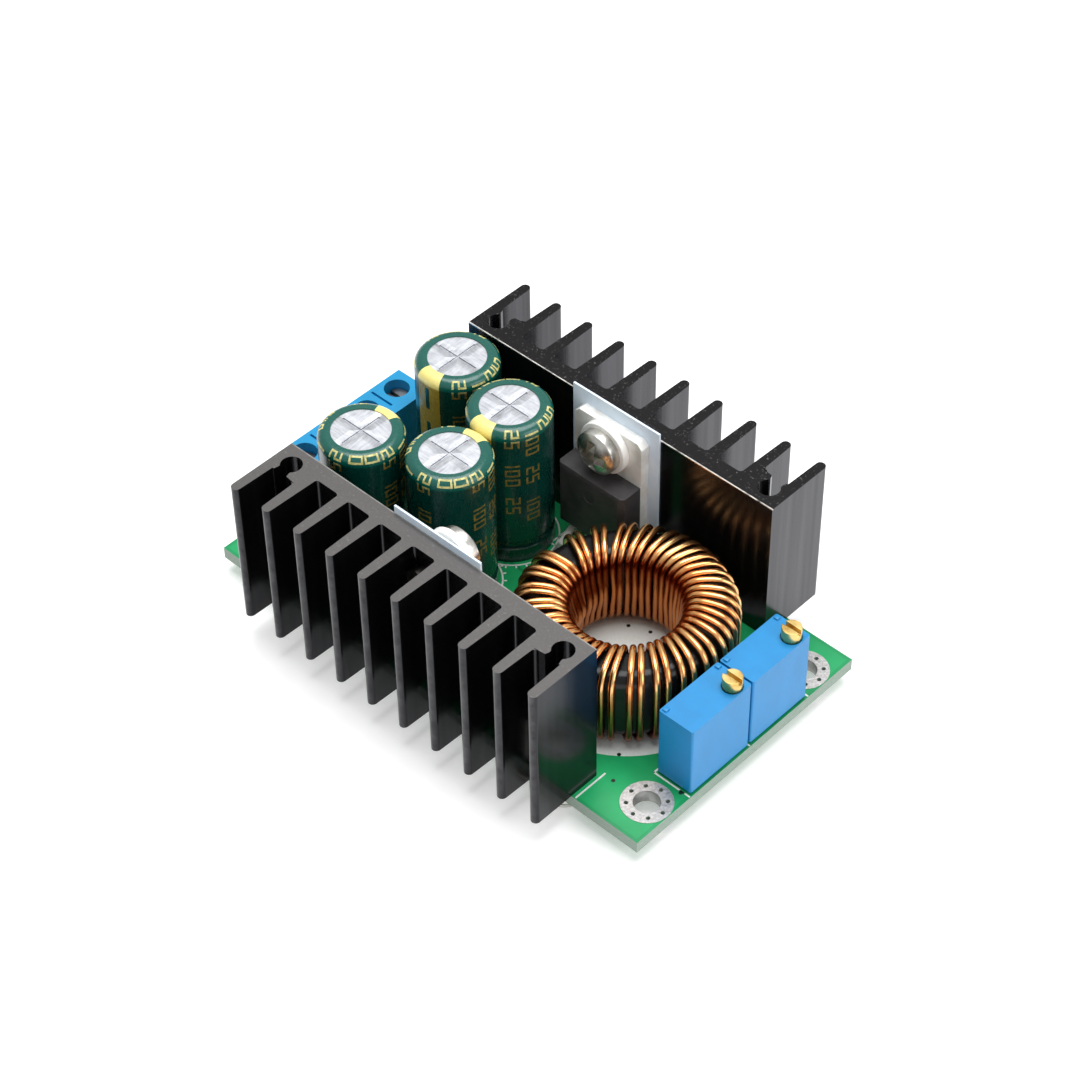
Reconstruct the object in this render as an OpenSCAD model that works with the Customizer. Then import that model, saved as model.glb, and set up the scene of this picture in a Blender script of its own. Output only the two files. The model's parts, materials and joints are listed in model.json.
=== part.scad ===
// Step-down power converter module: a circuit board between two finned heatsinks, with a toroidal
// inductor, four electrolytic capacitors, two power packages, two trimmers and two screw terminals.
// X runs from the terminals to the trimmers, Z is up. The origin is the centre of the four mounting
// holes, on the underside of the board. Most parts stand on the top face, at z = board_t.

/* [Board] */
// Length of the circuit board along X
board_l = 65; // [64:0.5:70]
// Width of the circuit board along Y
board_w = 36; // [36:0.5:42]
// Thickness of the circuit board
board_t = 1.6; // [1:0.1:2.4]
// Diameter of the four mounting holes
hole_d = 3.1; // [2.2:0.1:3.6]
// Distance of the mounting holes from the short edges
hole_edge_x = 3; // [3:0.1:3.4]
// Distance of the mounting holes from the long edges
hole_edge_y = 4.9; // [3.6:0.1:4.9]
// Width of the tinned ring round each mounting hole
ring_w = 1.4; // [1:0.05:1.45]
// Thickness of the tinned rings
ring_t = 0.06; // [0.04:0.01:0.1]
// Number of stitching vias in each ring
via_n = 8; // [4:1:12]
// Diameter of the stitching vias
via_d = 0.5; // [0.3:0.1:0.7]
// Clearance of the lead holes over the leads
lead_clear = 0.3; // [0.2:0.05:0.5]
// Height of the solder cones under the board
solder_h = 0.9; // [0.5:0.1:1.1]
// Width of the solder collar round a lead
solder_w = 0.5; // [0.3:0.05:0.6]
// Length of the wetted lead tip below the solder cone
lead_tip = 0.4; // [0.2:0.1:0.6]

/* [Heatsinks] */
// Length of each heatsink along the board
sink_l = 46; // [44:0.5:48]
// Height of each heatsink
sink_h = 20; // [20:0.5:30]
// Depth of each heatsink from its flat face to the fin tips
sink_d = 9.5; // [8:0.1:14]
// How far each heatsink stands in from the long edge of the board
sink_foot = 4; // [3.5:0.1:4]
// Number of fins on each heatsink
fin_n = 10; // [8:1:12]
// Thickness of a fin at its rounded tip
fin_tip = 1.2; // [0.8:0.1:1.4]
// Thickness of a fin at its root
fin_root = 1.55; // [1.4:0.05:1.8]
// Thickness of the base plate between the fins
base_t = 2.2; // [1.8:0.1:3]
// Thickness of the base plate in the two end gaps, round the screw channels
floor_t = 4.35; // [4.2:0.05:5]
// Radius of the fillets at the fin roots
root_r = 0.5; // [0.3:0.05:0.7]
// Bore of the open screw channels
channel_d = 2.56; // [2.3:0.02:2.7]
// Distance of the screw channels from the end faces
channel_end = 2.5; // [2.3:0.05:2.6]
// Distance of the screw channels from the flat face
channel_in = 2.43; // [2.1:0.01:2.5]
// Width of the mouth of the screw channels
channel_mouth = 1.7; // [1.4:0.05:1.9]
// Shank diameter of the heatsink screws
sink_screw_d = 2.4; // [2:0.05:2.5]
// Shank length of the heatsink screws
sink_screw_l = 8; // [5:0.5:14]
// Head diameter of the heatsink screws
sink_head_d = 4.5; // [4:0.1:5]
// Head height of the heatsink screws, which the module stands on
sink_head_h = 1.9; // [1.9:0.05:2.4]

/* [Power packages] */
// Place of the regulator along the far heatsink
regulator_x = 0.35; // [-0.4:0.05:0.5]
// Place of the diode along the near heatsink
diode_x = -0.3; // [-0.5:0.05:0.5]
// Thickness of the insulating sheets
sheet_t = 0.25; // [0.15:0.05:0.5]
// Width of the insulating sheets
sheet_w = 13; // [12:0.5:15]
// Height of the insulating sheets
sheet_h = 18; // [17:0.5:19]
// Height of the lower edge of the sheets over the board
sheet_z = 3; // [1:0.1:3.5]
// Width of the metal tabs
tab_w = 10.16; // [10:0.02:10.6]
// Thickness of the metal tabs
tab_t = 1.3; // [1.2:0.05:1.5]
// Height of the top of the tabs over the board
tab_top = 19.2; // [18.6:0.1:19.8]
// Height of the hole in the tabs over the board
tab_hole_z = 16.4; // [16:0.1:16.8]
// Diameter of the hole in the tabs
tab_hole_d = 3.8; // [3.7:0.05:4]
// Width of the moulded bodies
body_w = 10; // [9.6:0.05:10.1]
// Height of the moulded bodies
body_h = 9; // [8.6:0.1:9.2]
// Height of the moulded bodies over the board
body_z = 3.8; // [3:0.1:4.2]
// Full thickness of the packages from the back of the tab to the front
package_t = 4.5; // [4.2:0.05:4.7]
// Distance of the lead plane from the back of the tab
lead_plane = 2.6; // [2.4:0.05:2.8]
// Width of the package leads
lead_w = 0.8; // [0.6:0.05:0.9]
// Thickness of the package leads
lead_t = 0.5; // [0.4:0.05:0.6]
// Lead pitch of the diode
diode_pitch = 2.54; // [2.3:0.01:2.8]
// Lead pitch of the regulator
regulator_pitch = 1.7; // [1.6:0.01:1.75]
// How far the outer row of regulator leads is bent forward
lead_row = 2.8; // [2.4:0.1:3]
// Flange diameter of the insulating bushes
bush_d = 6.6; // [6.2:0.1:7]
// Flange thickness of the insulating bushes
bush_t = 1; // [0.6:0.1:1.2]
// Clearance of the bush sleeves in the tabs and round the screws
bush_clear = 0.1; // [0.05:0.01:0.15]
// Shank diameter of the device screws
screw_d = 2.9; // [2.5:0.05:2.95]
// Shank length of the device screws
screw_l = 6; // [5:0.5:8]
// Head diameter of the device screws
screw_head_d = 5.5; // [5:0.1:6]
// Head height of the device screws
screw_head_h = 2.1; // [1.8:0.1:2.4]

/* [Capacitors] */
// Diameter over the sleeve
cap_d = 10; // [9.6:0.05:10.2]
// Height of the capacitors
cap_h = 20.2; // [16:0.1:25]
// Thickness of the sleeves
sleeve_t = 0.14; // [0.1:0.01:0.25]
// Radius of the shoulder at the top
shoulder_r = 1.1; // [0.8:0.1:1.4]
// Diameter of the bare disc on top
disc_d = 6.9; // [6:0.1:7.4]
// Height of the crimp groove over the board
crimp_z = 2.6; // [2:0.1:3.5]
// Depth of the crimp groove
crimp_depth = 0.3; // [0.2:0.05:0.45]
// Thickness of the rubber bung at the base
bung_t = 1; // [0.6:0.1:1.6]
// Lead pitch of the capacitors
cap_pitch = 5; // [4:0.1:5.5]
// Lead diameter of the capacitors
cap_lead_d = 0.6; // [0.5:0.05:0.8]
// Depth of the cross score in the can top
score_depth = 0.15; // [0.1:0.01:0.25]
// Gap between a capacitor and the far heatsink
cap_sink_gap = 0.3; // [0.2:0.05:0.5]
// Gap between neighbouring capacitors along X
cap_gap_x = 0.1; // [0.1:0.05:0.6]
// Gap between neighbouring capacitors along Y
cap_gap_y = 0.2; // [0.2:0.05:0.5]

/* [Inductor] */
// Outer diameter of the core
core_od = 23.6; // [22:0.1:23.8]
// Inner diameter of the core
core_id = 14; // [12.5:0.1:15]
// Height of the core
core_h = 9.5; // [8:0.1:12]
// Radius of the core edges
core_r = 1.4; // [0.8:0.05:1.6]
// Diameter of the enamelled wire
wire_d = 0.76; // [0.6:0.02:0.78]
// Gap between the wire and the core
wire_gap = 0.12; // [0.1:0.01:0.15]
// Number of turns, each of two wires side by side
turn_n = 24; // [16:1:24]
// Angle left free at the two ends of the winding
end_angle = 14; // [10:1:40]
// Gap between the two wires of a turn at the outside of the core
pair_gap = 0.3; // [0.04:0.02:0.5]
// Gap between the winding and the trimmers
coil_gap = 0.25; // [0.2:0.05:0.5]

/* [Screw terminals] */
// Distance between neighbouring wire entries
term_pitch = 5; // [4.9:0.02:5.08]
// Height of the terminal blocks over the board
term_h = 10; // [9.8:0.1:12]
// Depth of the top face of the blocks
term_top = 5.2; // [5:0.05:5.6]
// Full depth of the blocks at the wire entries
term_depth = 6.8; // [6.4:0.05:7.2]
// Height at which the wire entry side starts to slope in
term_slope_z = 6.2; // [5:0.1:7]
// How far the blocks stand out past the end of the board
term_over = 0.5; // [0:0.05:0.8]
// Place of the middle of the two blocks along Y
term_y = 0.3; // [-0.3:0.05:0.3]
// Height of the feet under the blocks and trimmers
foot_h = 0.3; // [0.2:0.05:0.5]
// Thickness of the back wall of the blocks
term_wall = 0.6; // [0.5:0.05:0.8]
// Width of the chamber of each way
chamber_w = 4; // [3.9:0.05:4.2]
// Height of the top of the chambers over the board
chamber_z = 6.9; // [6.8:0.05:7.2]
// Distance of the clamp screws from the back face
clamp_x = 3; // [2.9:0.05:3.1]
// Diameter of the screw access holes
access_d = 3.1; // [3:0.05:3.3]
// Running clearance of the clamp screws
run_clear = 0.08; // [0.05:0.01:0.1]
// Thickness of the ledge under the screw heads
ledge_t = 0.5; // [0.4:0.05:0.7]
// Shank diameter of the clamp screws
clamp_d = 2.3; // [2:0.05:2.4]
// Head height of the clamp screws
clamp_head_h = 1.2; // [1:0.05:1.5]
// Width of a wire entry
entry_w = 3; // [2.6:0.05:3.2]
// Height of a wire entry
entry_h = 2.8; // [2.4:0.05:3]
// Clearance round the rising cages
cage_clear = 0.3; // [0.25:0.01:0.35]
// Height of the rising cages
cage_h = 4.1; // [3.9:0.05:4.3]
// Thickness of the cage walls
cage_t = 0.6; // [0.5:0.02:0.65]
// Thickness of the threaded top of the cages
cage_top_t = 0.9; // [0.8:0.05:1]
// Thickness of the contact strips
strip_t = 0.5; // [0.4:0.02:0.55]
// Width of the contact tongues
tongue_w = 1.6; // [1.2:0.05:1.7]
// Width of the contact pins in the board
term_pin_w = 1; // [0.8:0.05:1.1]

/* [Trimmers] */
// Length of a trimmer along Y
trim_l = 9.53; // [9.3:0.01:9.6]
// Thickness of a trimmer along X
trim_t = 4.83; // [4.6:0.01:5]
// Height of a trimmer over the board
trim_h = 10.03; // [9:0.01:11]
// Gap between the two trimmers
trim_gap = 0.27; // [0.15:0.01:0.4]
// Place of the middle of the trimmers along Y
trim_y = 0.45; // [-0.5:0.05:0.5]
// Distance of the trimmers from the end of the board
trim_edge = 0.2; // [0:0.05:0.4]
// Head diameter of the adjusting screws
adjust_d = 2.3; // [2:0.05:2.4]
// How far the adjusting screws stand out
adjust_h = 1.5; // [1:0.1:2]
// Shank diameter of the adjusting screws
adjust_shank_d = 1.6; // [1.2:0.05:1.8]
// Distance of the adjusting screws from the front face
adjust_front = 1.4; // [1.35:0.01:1.6]
// Distance of the adjusting screws from the end face
adjust_end = 1.6; // [1.4:0.01:2]
// Pin pitch of the trimmers
trim_pitch = 2.54; // [2.3:0.01:2.7]
// Pin diameter of the trimmers
trim_pin_d = 0.6; // [0.5:0.05:0.7]

/* [Control parts] */
// Length of the amplifier package under the board
amp_l = 4.9; // [4.5:0.1:5.2]
// Width of the amplifier package
amp_w = 3.9; // [3.5:0.1:4.2]
// Thickness of the amplifier package
amp_t = 1.4; // [1.2:0.05:1.5]
// Lead pitch of the amplifier package
amp_pitch = 1.27; // [1.1:0.01:1.3]
// Length of the current sense resistor
shunt_l = 6.4; // [5:0.1:7]
// Width of the current sense resistor
shunt_w = 3.2; // [2.5:0.1:3.6]
// Thickness of the current sense resistor
shunt_t = 0.7; // [0.5:0.05:1]
// Length of the small chip parts
chip_l = 2; // [1.6:0.1:2.2]
// Width of the small chip parts
chip_w = 1.25; // [0.8:0.05:1.4]
// Thickness of the chip resistors
resistor_t = 0.5; // [0.35:0.05:0.7]
// Thickness of the chip capacitors
ceramic_t = 0.9; // [0.6:0.05:1.2]
// Thickness of the indicator lamps
led_t = 0.6; // [0.4:0.05:0.9]

/* [Hidden] */
$fn = 48;
EPS = 0.01;
// Faces of the heatsinks and centres of the mounting holes
sink_in = board_w / 2 - sink_foot;
hole_x = board_l / 2 - hole_edge_x;
hole_y = board_w / 2 - hole_edge_y;
ring_d = hole_d + 2 * ring_w;
fin_pitch = (sink_l - fin_tip) / (fin_n - 1);
channel_x = sink_l / 2 - channel_end;
channel_y = sink_in + channel_in;
// Depths of the package parts, measured from the flat face of a heatsink
tab_back = sheet_t;
tab_front = tab_back + tab_t;
body_front = tab_back + package_t;
lead_y = tab_back + lead_plane;
bush_hole_d = screw_d + 2 * bush_clear;
// Capacitors stand in a staggered block between the terminals and the packages
cap_stagger = 1.9;
cap_step = 0.6;
cap_offset = 4;
cap_overlap = 0.15;
cap_2 = [regulator_x - (body_w + cap_d) / 2 + cap_overlap, sink_in - cap_sink_gap - cap_d / 2 - cap_stagger];
cap_1 = [cap_2[0] - cap_d - cap_gap_x, cap_2[1] + cap_stagger];
cap_4 = [cap_2[0] + cap_step, cap_2[1] - cap_d - cap_gap_y];
cap_3 = [cap_4[0] - cap_d + cap_gap_x, cap_4[1] - cap_offset];
cap_at = [cap_1, cap_2, cap_3, cap_4];
// Turn of each capacitor about its axis
cap_turn = [90, 90, -90, -90];
// Trimmers and inductor
trim_x = board_l / 2 - trim_edge - trim_t / 2;
bend_r = core_r + wire_gap + wire_d / 2;
wire_out = core_od / 2 + wire_gap + wire_d / 2;
wire_in = core_id / 2 - wire_gap - wire_d / 2;
coil_x = trim_x - trim_t / 2 - coil_gap - wire_out - wire_d / 2;
coil_low = board_t + wire_d / 2 + 0.2;
coil_high = coil_low + wire_d + 2 * wire_gap + core_h;
turn_angle = (360 - end_angle) / turn_n;
end_gap = 0.04;
end_pair_w = wire_d + end_gap;
bend_angles = [0, 30, 60, 90];
exit_r = 0.5;
wire_sides = 8;
// Screw terminals
term_back = -board_l / 2 - term_over + term_depth;
head_seat = chamber_z + ledge_t;
strip_x = term_wall + strip_t;
cage_back = strip_x + cage_clear;
cage_l = 2 * (clamp_x - cage_back);
chamber_end = clamp_x + cage_l / 2 + cage_clear;
cage_w = chamber_w - 2 * cage_clear;
cage_z = foot_h + 0.8;
cage_roof = cage_z + cage_h - cage_top_t;
tongue_z = cage_roof - cage_clear;
clamp_tip = tongue_z + cage_clear + 0.05;
clamp_head_d = access_d - 2 * run_clear;
term_lead_d = sqrt(term_pin_w * term_pin_w + strip_t * strip_t);
way_n = 4;
// Control parts on the underside, round the foot of the inductor
amp_at = [coil_x - 2, 4];
amp_gap = 0.1;
reference_at = [coil_x + 4, 4.5];
shunt_at = [coil_x, -3.5];
chip_step = chip_l + 0.9;
chip_x = coil_x - 6;
resistor_y = 9;
ceramic_y = -8;
led_in = 9;
led_x = board_l / 2 - led_in;
led_step = 6;

// Places where a lead passes the board, as [x, y, hole diameter without clearance]
flat_lead_d = sqrt(lead_w * lead_w + lead_t * lead_t);
diode_steps = [-1, 0, 1];
regulator_steps = [-2, -1, 0, 1, 2];

function row_y(step) = lead_y + (step % 2 == 0 ? lead_row : 0);
function way_y(way) = term_y + (way - (way_n + 1) / 2) * term_pitch;
function trimmer_y(side) = trim_y + side * (trim_l + trim_gap) / 2;
function polar(radius, angle) = [radius * cos(angle), radius * sin(angle)];
function strand_side(strand) = strand * 2 - 1;
function pair_w(turn) = turn % turn_n == 0 ? end_pair_w : wire_d + pair_gap;
function pair_angle(turn) = pair_w(turn) / wire_out * 180 / PI;
function outer_at(turn, strand) =
    polar(wire_out, 180 + end_angle / 2 + turn * turn_angle + strand_side(strand) * pair_angle(turn) / 2);
function inner_at(turn, strand) =
    polar(wire_in, 180 + end_angle / 2 + (turn + 0.5) * turn_angle + strand_side(strand) * turn_angle / 4);

cap_holes = [for (i = [0:3], s = [-1, 1]) [
    cap_at[i][0] + s * cap_pitch / 2 * cos(cap_turn[i]),
    cap_at[i][1] + s * cap_pitch / 2 * sin(cap_turn[i]),
    cap_lead_d
]];
coil_holes = [for (turn = [0, turn_n])
    let (middle = (outer_at(turn, 0) + outer_at(turn, 1)) / 2)
    [coil_x + middle[0], middle[1], end_pair_w + wire_d]
];
regulator_holes = [for (step = regulator_steps) [
    regulator_x + step * regulator_pitch, sink_in - row_y(step), flat_lead_d
]];
diode_holes = [for (step = diode_steps) [diode_x - step * diode_pitch, lead_y - sink_in, flat_lead_d]];
trimmer_holes = [for (side = [-1, 1], step = [-1, 0, 1]) [
    trim_x, trimmer_y(side) + step * trim_pitch, trim_pin_d
]];
terminal_holes = [for (way = [1:way_n]) [
    term_back - term_wall - strip_t / 2, way_y(way), term_lead_d
]];
lead_holes = concat(cap_holes, coil_holes, regulator_holes, diode_holes, trimmer_holes, terminal_holes);

// Repeats its children at the four mounting holes
module at_holes() {
    for (x = [-hole_x, hole_x], y = [-hole_y, hole_y]) {
        translate([x, y, 0]) children();
    }
}

// Repeats its children at the four screw channels
module at_channels() {
    for (x = [-channel_x, channel_x], y = [-channel_y, channel_y]) {
        translate([x, y, 0]) children();
    }
}

// Puts its children against a heatsink: y = 0 is the flat face and negative y points to the middle
module against_sink(side, x = 0) {
    translate([x, side * sink_in, board_t]) rotate([0, 0, side > 0 ? 0 : 180]) children();
}

// Turns a shape that stands along Z to point to the middle from a heatsink
module facing_in() {
    rotate([90, 0, 0]) children();
}

// Flat rectangle with rounded corners
module soft_rect(size, r) {
    for (x = [r, size[0] - r], y = [r, size[1] - r]) {
        translate([x, y]) circle(r);
    }
    translate([r, 0]) square([size[0] - 2 * r, size[1]]);
    translate([0, r]) square([size[0], size[1] - 2 * r]);
}

// Corner piece that turns a square inner corner into a fillet
module fillet_piece(r) {
    difference() {
        translate([-EPS, -EPS]) square(r + EPS);
        translate([r, r]) circle(r);
    }
}

module circuit_board() {
    color("seagreen") difference() {
        translate([-board_l / 2, -board_w / 2, 0]) cube([board_l, board_w, board_t]);
        at_holes() translate([0, 0, -1]) cylinder(d = hole_d, h = board_t + 2);
        at_holes() ring_vias();
        at_channels() translate([0, 0, -1]) cylinder(d = sink_screw_d + 2 * lead_clear, h = board_t + 2);
        for (hole = lead_holes) {
            translate([hole[0], hole[1], -1]) cylinder(d = hole[2] + lead_clear, h = board_t + 2, $fn = 24);
        }
    }
}

// Stitching vias on a circle in the middle of a tinned ring
module ring_vias() {
    for (i = [0:via_n - 1]) {
        rotate([0, 0, i * 360 / via_n]) translate([(hole_d + ring_w) / 2, 0, -1])
            cylinder(d = via_d, h = board_t + 2, $fn = 16);
    }
}

module hole_pads() {
    color("gainsboro") at_holes() for (z = [-ring_t, board_t]) {
        difference() {
            translate([0, 0, z]) cylinder(d = ring_d, h = ring_t);
            translate([0, 0, -1]) cylinder(d = hole_d, h = board_t + 2);
            ring_vias();
        }
    }
}

// Cone of solder with the wetted tip of the lead, hanging under the board
module solder_joint(lead_d) {
    collar = lead_d / 2 + solder_w;
    rotate([180, 0, 0]) {
        cylinder(r1 = collar, r2 = lead_d / 2 + 0.05, h = solder_h, $fn = 24);
        translate([0, 0, solder_h]) cylinder(d = lead_d, h = lead_tip, $fn = 24);
    }
}

module solder_joints() {
    color("silver") for (hole = lead_holes) {
        translate([hole[0], hole[1], 0]) solder_joint(hole[2]);
    }
}

// Fin outline: tapered flanks and a round tip
module fin_profile() {
    polygon([
        [-fin_root / 2, base_t - EPS], [fin_root / 2, base_t - EPS],
        [fin_tip / 2, sink_d - fin_tip / 2], [-fin_tip / 2, sink_d - fin_tip / 2]
    ]);
    translate([0, sink_d - fin_tip / 2]) circle(d = fin_tip);
}

// Fillet on one side of a fin, at the given depth on its tapered flank
module fin_fillet(side, depth) {
    taper = (depth - base_t) / (sink_d - fin_tip / 2 - base_t);
    flank = (fin_root + (fin_tip - fin_root) * taper) / 2;
    translate([side * (flank - 0.05), depth]) scale([side, 1]) fillet_piece(root_r);
}

// Thick floor of an end gap, whose lip leans in over the screw channel
module end_floor() {
    gap_start = sink_l / 2 - fin_tip / 2 - fin_pitch;
    lip = channel_x - channel_mouth / 2;
    polygon([
        [gap_start, 0], [sink_l / 2, 0], [sink_l / 2, floor_t], [channel_x + channel_mouth / 2, floor_t - 0.2],
        [lip, floor_t - 0.25], [gap_start, floor_t]
    ]);
}

// Bore of a screw channel with its flared mouth
module channel_profile() {
    half = channel_mouth / 2;
    translate([channel_x, channel_in]) {
        circle(d = channel_d);
        translate([-half, 0]) square([channel_mouth, floor_t]);
        translate([0, floor_t - channel_in]) polygon([
            [-half - 0.25, EPS], [half + 0.2, EPS], [half - EPS, -0.7], [-half + EPS, -0.7]
        ]);
    }
}

// Extrusion outline, seen from above: flat face on y = 0, fins to y = sink_d
module sink_profile() {
    difference() {
        intersection() {
            translate([-sink_l / 2, 0]) square([sink_l, sink_d]);
            union() {
                translate([-sink_l / 2, 0]) square([sink_l, base_t]);
                for (i = [0:fin_n - 1]) {
                    translate([fin_tip / 2 - sink_l / 2 + i * fin_pitch, 0]) {
                        fin_profile();
                        for (side = [-1, 1]) fin_fillet(side, base_t);
                    }
                }
                for (side = [-1, 1]) scale([side, 1]) {
                    end_floor();
                    translate([sink_l / 2 - fin_tip / 2 - fin_pitch, 0]) fin_fillet(1, floor_t - EPS);
                }
            }
        }
        for (side = [-1, 1]) scale([side, 1]) channel_profile();
    }
}

module heatsink(side, device_x) {
    against_sink(side) difference() {
        linear_extrude(sink_h) sink_profile();
        translate([side * device_x, base_t + 1, tab_hole_z]) facing_in()
            cylinder(d = screw_d + 0.1, h = base_t + 2);
    }
}

module heatsink_near() {
    color("dimgray") heatsink(-1, diode_x);
}

module heatsink_far() {
    color("dimgray") heatsink(1, regulator_x);
}

// Pan head with a cross recess, standing on z = 0, with its shank going down
module pan_screw(head_d, head_h, shank_d, shank_l) {
    edge = head_h * 0.55;
    dome = (pow(head_d / 2, 2) + pow(head_h - edge, 2)) / (2 * (head_h - edge));
    slot_w = head_d * 0.2;
    slot_l = head_d * 0.68;
    slot_z = head_h * 0.35;
    difference() {
        intersection() {
            cylinder(d = head_d, h = head_h);
            translate([0, 0, head_h - dome]) sphere(dome, $fn = 96);
        }
        for (turn = [0, 90]) rotate([0, 0, turn]) {
            translate([-slot_l / 2, -slot_w / 2, slot_z]) cube([slot_l, slot_w, head_h]);
        }
    }
    translate([0, 0, -shank_l]) cylinder(d = shank_d, h = shank_l);
}

module heatsink_screws() {
    color("silver") at_channels() rotate([180, 0, 0])
        pan_screw(sink_head_d, sink_head_h, sink_screw_d, sink_screw_l);
}

module insulator(side, x) {
    against_sink(side, x) difference() {
        translate([-sheet_w / 2, -sheet_t, sheet_z]) cube([sheet_w, sheet_t, sheet_h]);
        translate([0, 1, tab_hole_z]) facing_in() cylinder(d = screw_d + 0.3, h = sheet_t + 2);
    }
}

module insulator_near() {
    color("aliceblue") insulator(-1, diode_x);
}

module insulator_far() {
    color("aliceblue") insulator(1, regulator_x);
}

// Moulded body: side outline with drafted top, front and bottom, and a shallow ejector mark
module package_body() {
    draft = 0.25;
    bevel = 0.6;
    translate([0, 0, body_z]) difference() {
        translate([-body_w / 2, 0, 0]) rotate([90, 0, 90]) linear_extrude(body_w) polygon([
            [-tab_front, 0], [-tab_front, body_h], [draft - body_front, body_h], [-body_front, body_h - bevel],
            [-body_front, bevel], [draft - body_front, 0]
        ]);
        for (side = [-1, 1]) scale([side, 1, 1]) {
            translate([body_w / 2, -body_front, -1]) linear_extrude(body_h + 2)
                polygon([[-bevel, -EPS], [EPS, -EPS], [EPS, bevel]]);
        }
        translate([0, 0.08 - body_front, body_h * 0.72]) facing_in() cylinder(d = 1.6, h = 1);
    }
}

// Metal tab: plate with bevelled top corners, side notches and the screw hole
module package_tab() {
    corner = 0.7;
    notch_z = body_z + body_h + 0.5;
    facing_in() translate([0, 0, tab_back]) difference() {
        linear_extrude(tab_t) polygon([
            [-body_w / 2, body_z], [body_w / 2, body_z], [body_w / 2, notch_z], [tab_w / 2, notch_z + 0.3],
            [tab_w / 2, tab_top - corner], [tab_w / 2 - corner, tab_top], [corner - tab_w / 2, tab_top],
            [-tab_w / 2, tab_top - corner], [-tab_w / 2, notch_z + 0.3], [-body_w / 2, notch_z]
        ]);
        translate([0, tab_hole_z, -1]) cylinder(d = tab_hole_d, h = tab_t + 2);
    }
}

// Lead that leaves the body straight down, bent forward by reach and ending in the board
module package_lead(reach) {
    top = body_z;
    knee = body_z - 0.9;
    foot = 1.1;
    back = -lead_y + lead_t / 2;
    translate([-lead_w / 2, 0, 0]) rotate([90, 0, 90]) linear_extrude(lead_w) polygon([
        [back, top], [back, knee], [back - reach, foot], [back - reach, -board_t],
        [back - reach - lead_t, -board_t], [back - reach - lead_t, foot + 0.15 * reach],
        [back - lead_t, knee + 0.15 * reach], [back - lead_t, top]
    ]);
}

module regulator_body() {
    color("dimgray") against_sink(1, regulator_x) package_body();
}

module regulator_tab() {
    color("silver") against_sink(1, regulator_x) package_tab();
}

module regulator_leads() {
    color("silver") against_sink(1, regulator_x) for (step = regulator_steps) {
        translate([step * regulator_pitch, 0, 0]) package_lead(row_y(step) - lead_y);
    }
}

module diode_body() {
    color("dimgray") against_sink(-1, diode_x) package_body();
}

module diode_tab() {
    color("silver") against_sink(-1, diode_x) package_tab();
}

module diode_leads() {
    color("silver") against_sink(-1, diode_x) for (step = diode_steps) {
        translate([step * diode_pitch, 0, 0]) package_lead(0);
    }
}

// Flanged bush that keeps the screw away from the tab
module shoulder_bush() {
    translate([0, -tab_front, tab_hole_z]) facing_in() difference() {
        union() {
            cylinder(d = bush_d, h = bush_t);
            translate([0, 0, -tab_t]) cylinder(d = tab_hole_d - 2 * bush_clear, h = tab_t);
        }
        translate([0, 0, -tab_t - 1]) cylinder(d = bush_hole_d, h = tab_t + bush_t + 2);
    }
}

module shoulder_bushes() {
    color("whitesmoke") {
        against_sink(1, regulator_x) shoulder_bush();
        against_sink(-1, diode_x) shoulder_bush();
    }
}

module device_screw() {
    translate([0, -tab_front - bush_t, tab_hole_z]) facing_in()
        pan_screw(screw_head_d, screw_head_h, screw_d, screw_l);
}

module device_screws() {
    color("silver") {
        against_sink(1, regulator_x) device_screw();
        against_sink(-1, diode_x) device_screw();
    }
}

// Half section of a can: rounded shoulder and a crimp groove, shrunk by inset on every side
module can_half(inset) {
    r = cap_d / 2 - inset;
    shoulder = shoulder_r - inset;
    groove_r = 0.8;
    difference() {
        translate([0, inset]) square([r, cap_h - 2 * inset]);
        translate([r - shoulder, cap_h - inset - shoulder]) difference() {
            square(shoulder + 1);
            circle(shoulder);
        }
        translate([cap_d / 2 + groove_r - crimp_depth, crimp_z]) circle(groove_r + inset);
    }
}

// Shrunk sleeve: skin of the can that turns in over the top and the base
module cap_sleeve() {
    base_open = disc_d + 1;
    rotate_extrude() difference() {
        can_half(0);
        can_half(sleeve_t);
        translate([0, cap_h - 1]) square([disc_d / 2, 2]);
        translate([0, -1]) square([base_open / 2, 2]);
    }
}

// Drawn can, sealed and solid, with a cross scored into the top
module cap_can() {
    top = cap_h - sleeve_t;
    score_w = 0.25;
    difference() {
        rotate_extrude() difference() {
            can_half(sleeve_t);
            square([cap_d, sleeve_t + bung_t]);
        }
        for (turn = [0, 90]) rotate([0, 0, turn]) {
            translate([-disc_d * 0.42, -score_w / 2, top - score_depth]) cube([disc_d * 0.84, score_w, 1]);
        }
    }
}

module cap_bung() {
    translate([0, 0, sleeve_t]) cylinder(r = cap_d / 2 - sleeve_t, h = bung_t);
}

module cap_leads() {
    for (side = [-1, 1]) {
        translate([side * cap_pitch / 2, 0, -board_t]) cylinder(d = cap_lead_d, h = board_t + sleeve_t, $fn = 24);
    }
}

module at_cap(i) {
    translate([cap_at[i - 1][0], cap_at[i - 1][1], board_t]) rotate([0, 0, cap_turn[i - 1]]) children();
}

module capacitor_sleeve(i) {
    color("darkslategray") at_cap(i) cap_sleeve();
}

module capacitor_can(i) {
    color("silver") at_cap(i) cap_can();
}

module capacitor_bung(i) {
    color("black") at_cap(i) cap_bung();
}

module capacitor_leads(i) {
    color("silver") at_cap(i) cap_leads();
}

module inductor_core() {
    width = (core_od - core_id) / 2;
    color("black") translate([coil_x, 0, coil_low + wire_d / 2 + wire_gap])
        rotate_extrude($fn = 96) translate([core_id / 2, 0]) soft_rect([width, core_h], core_r);
}

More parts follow.
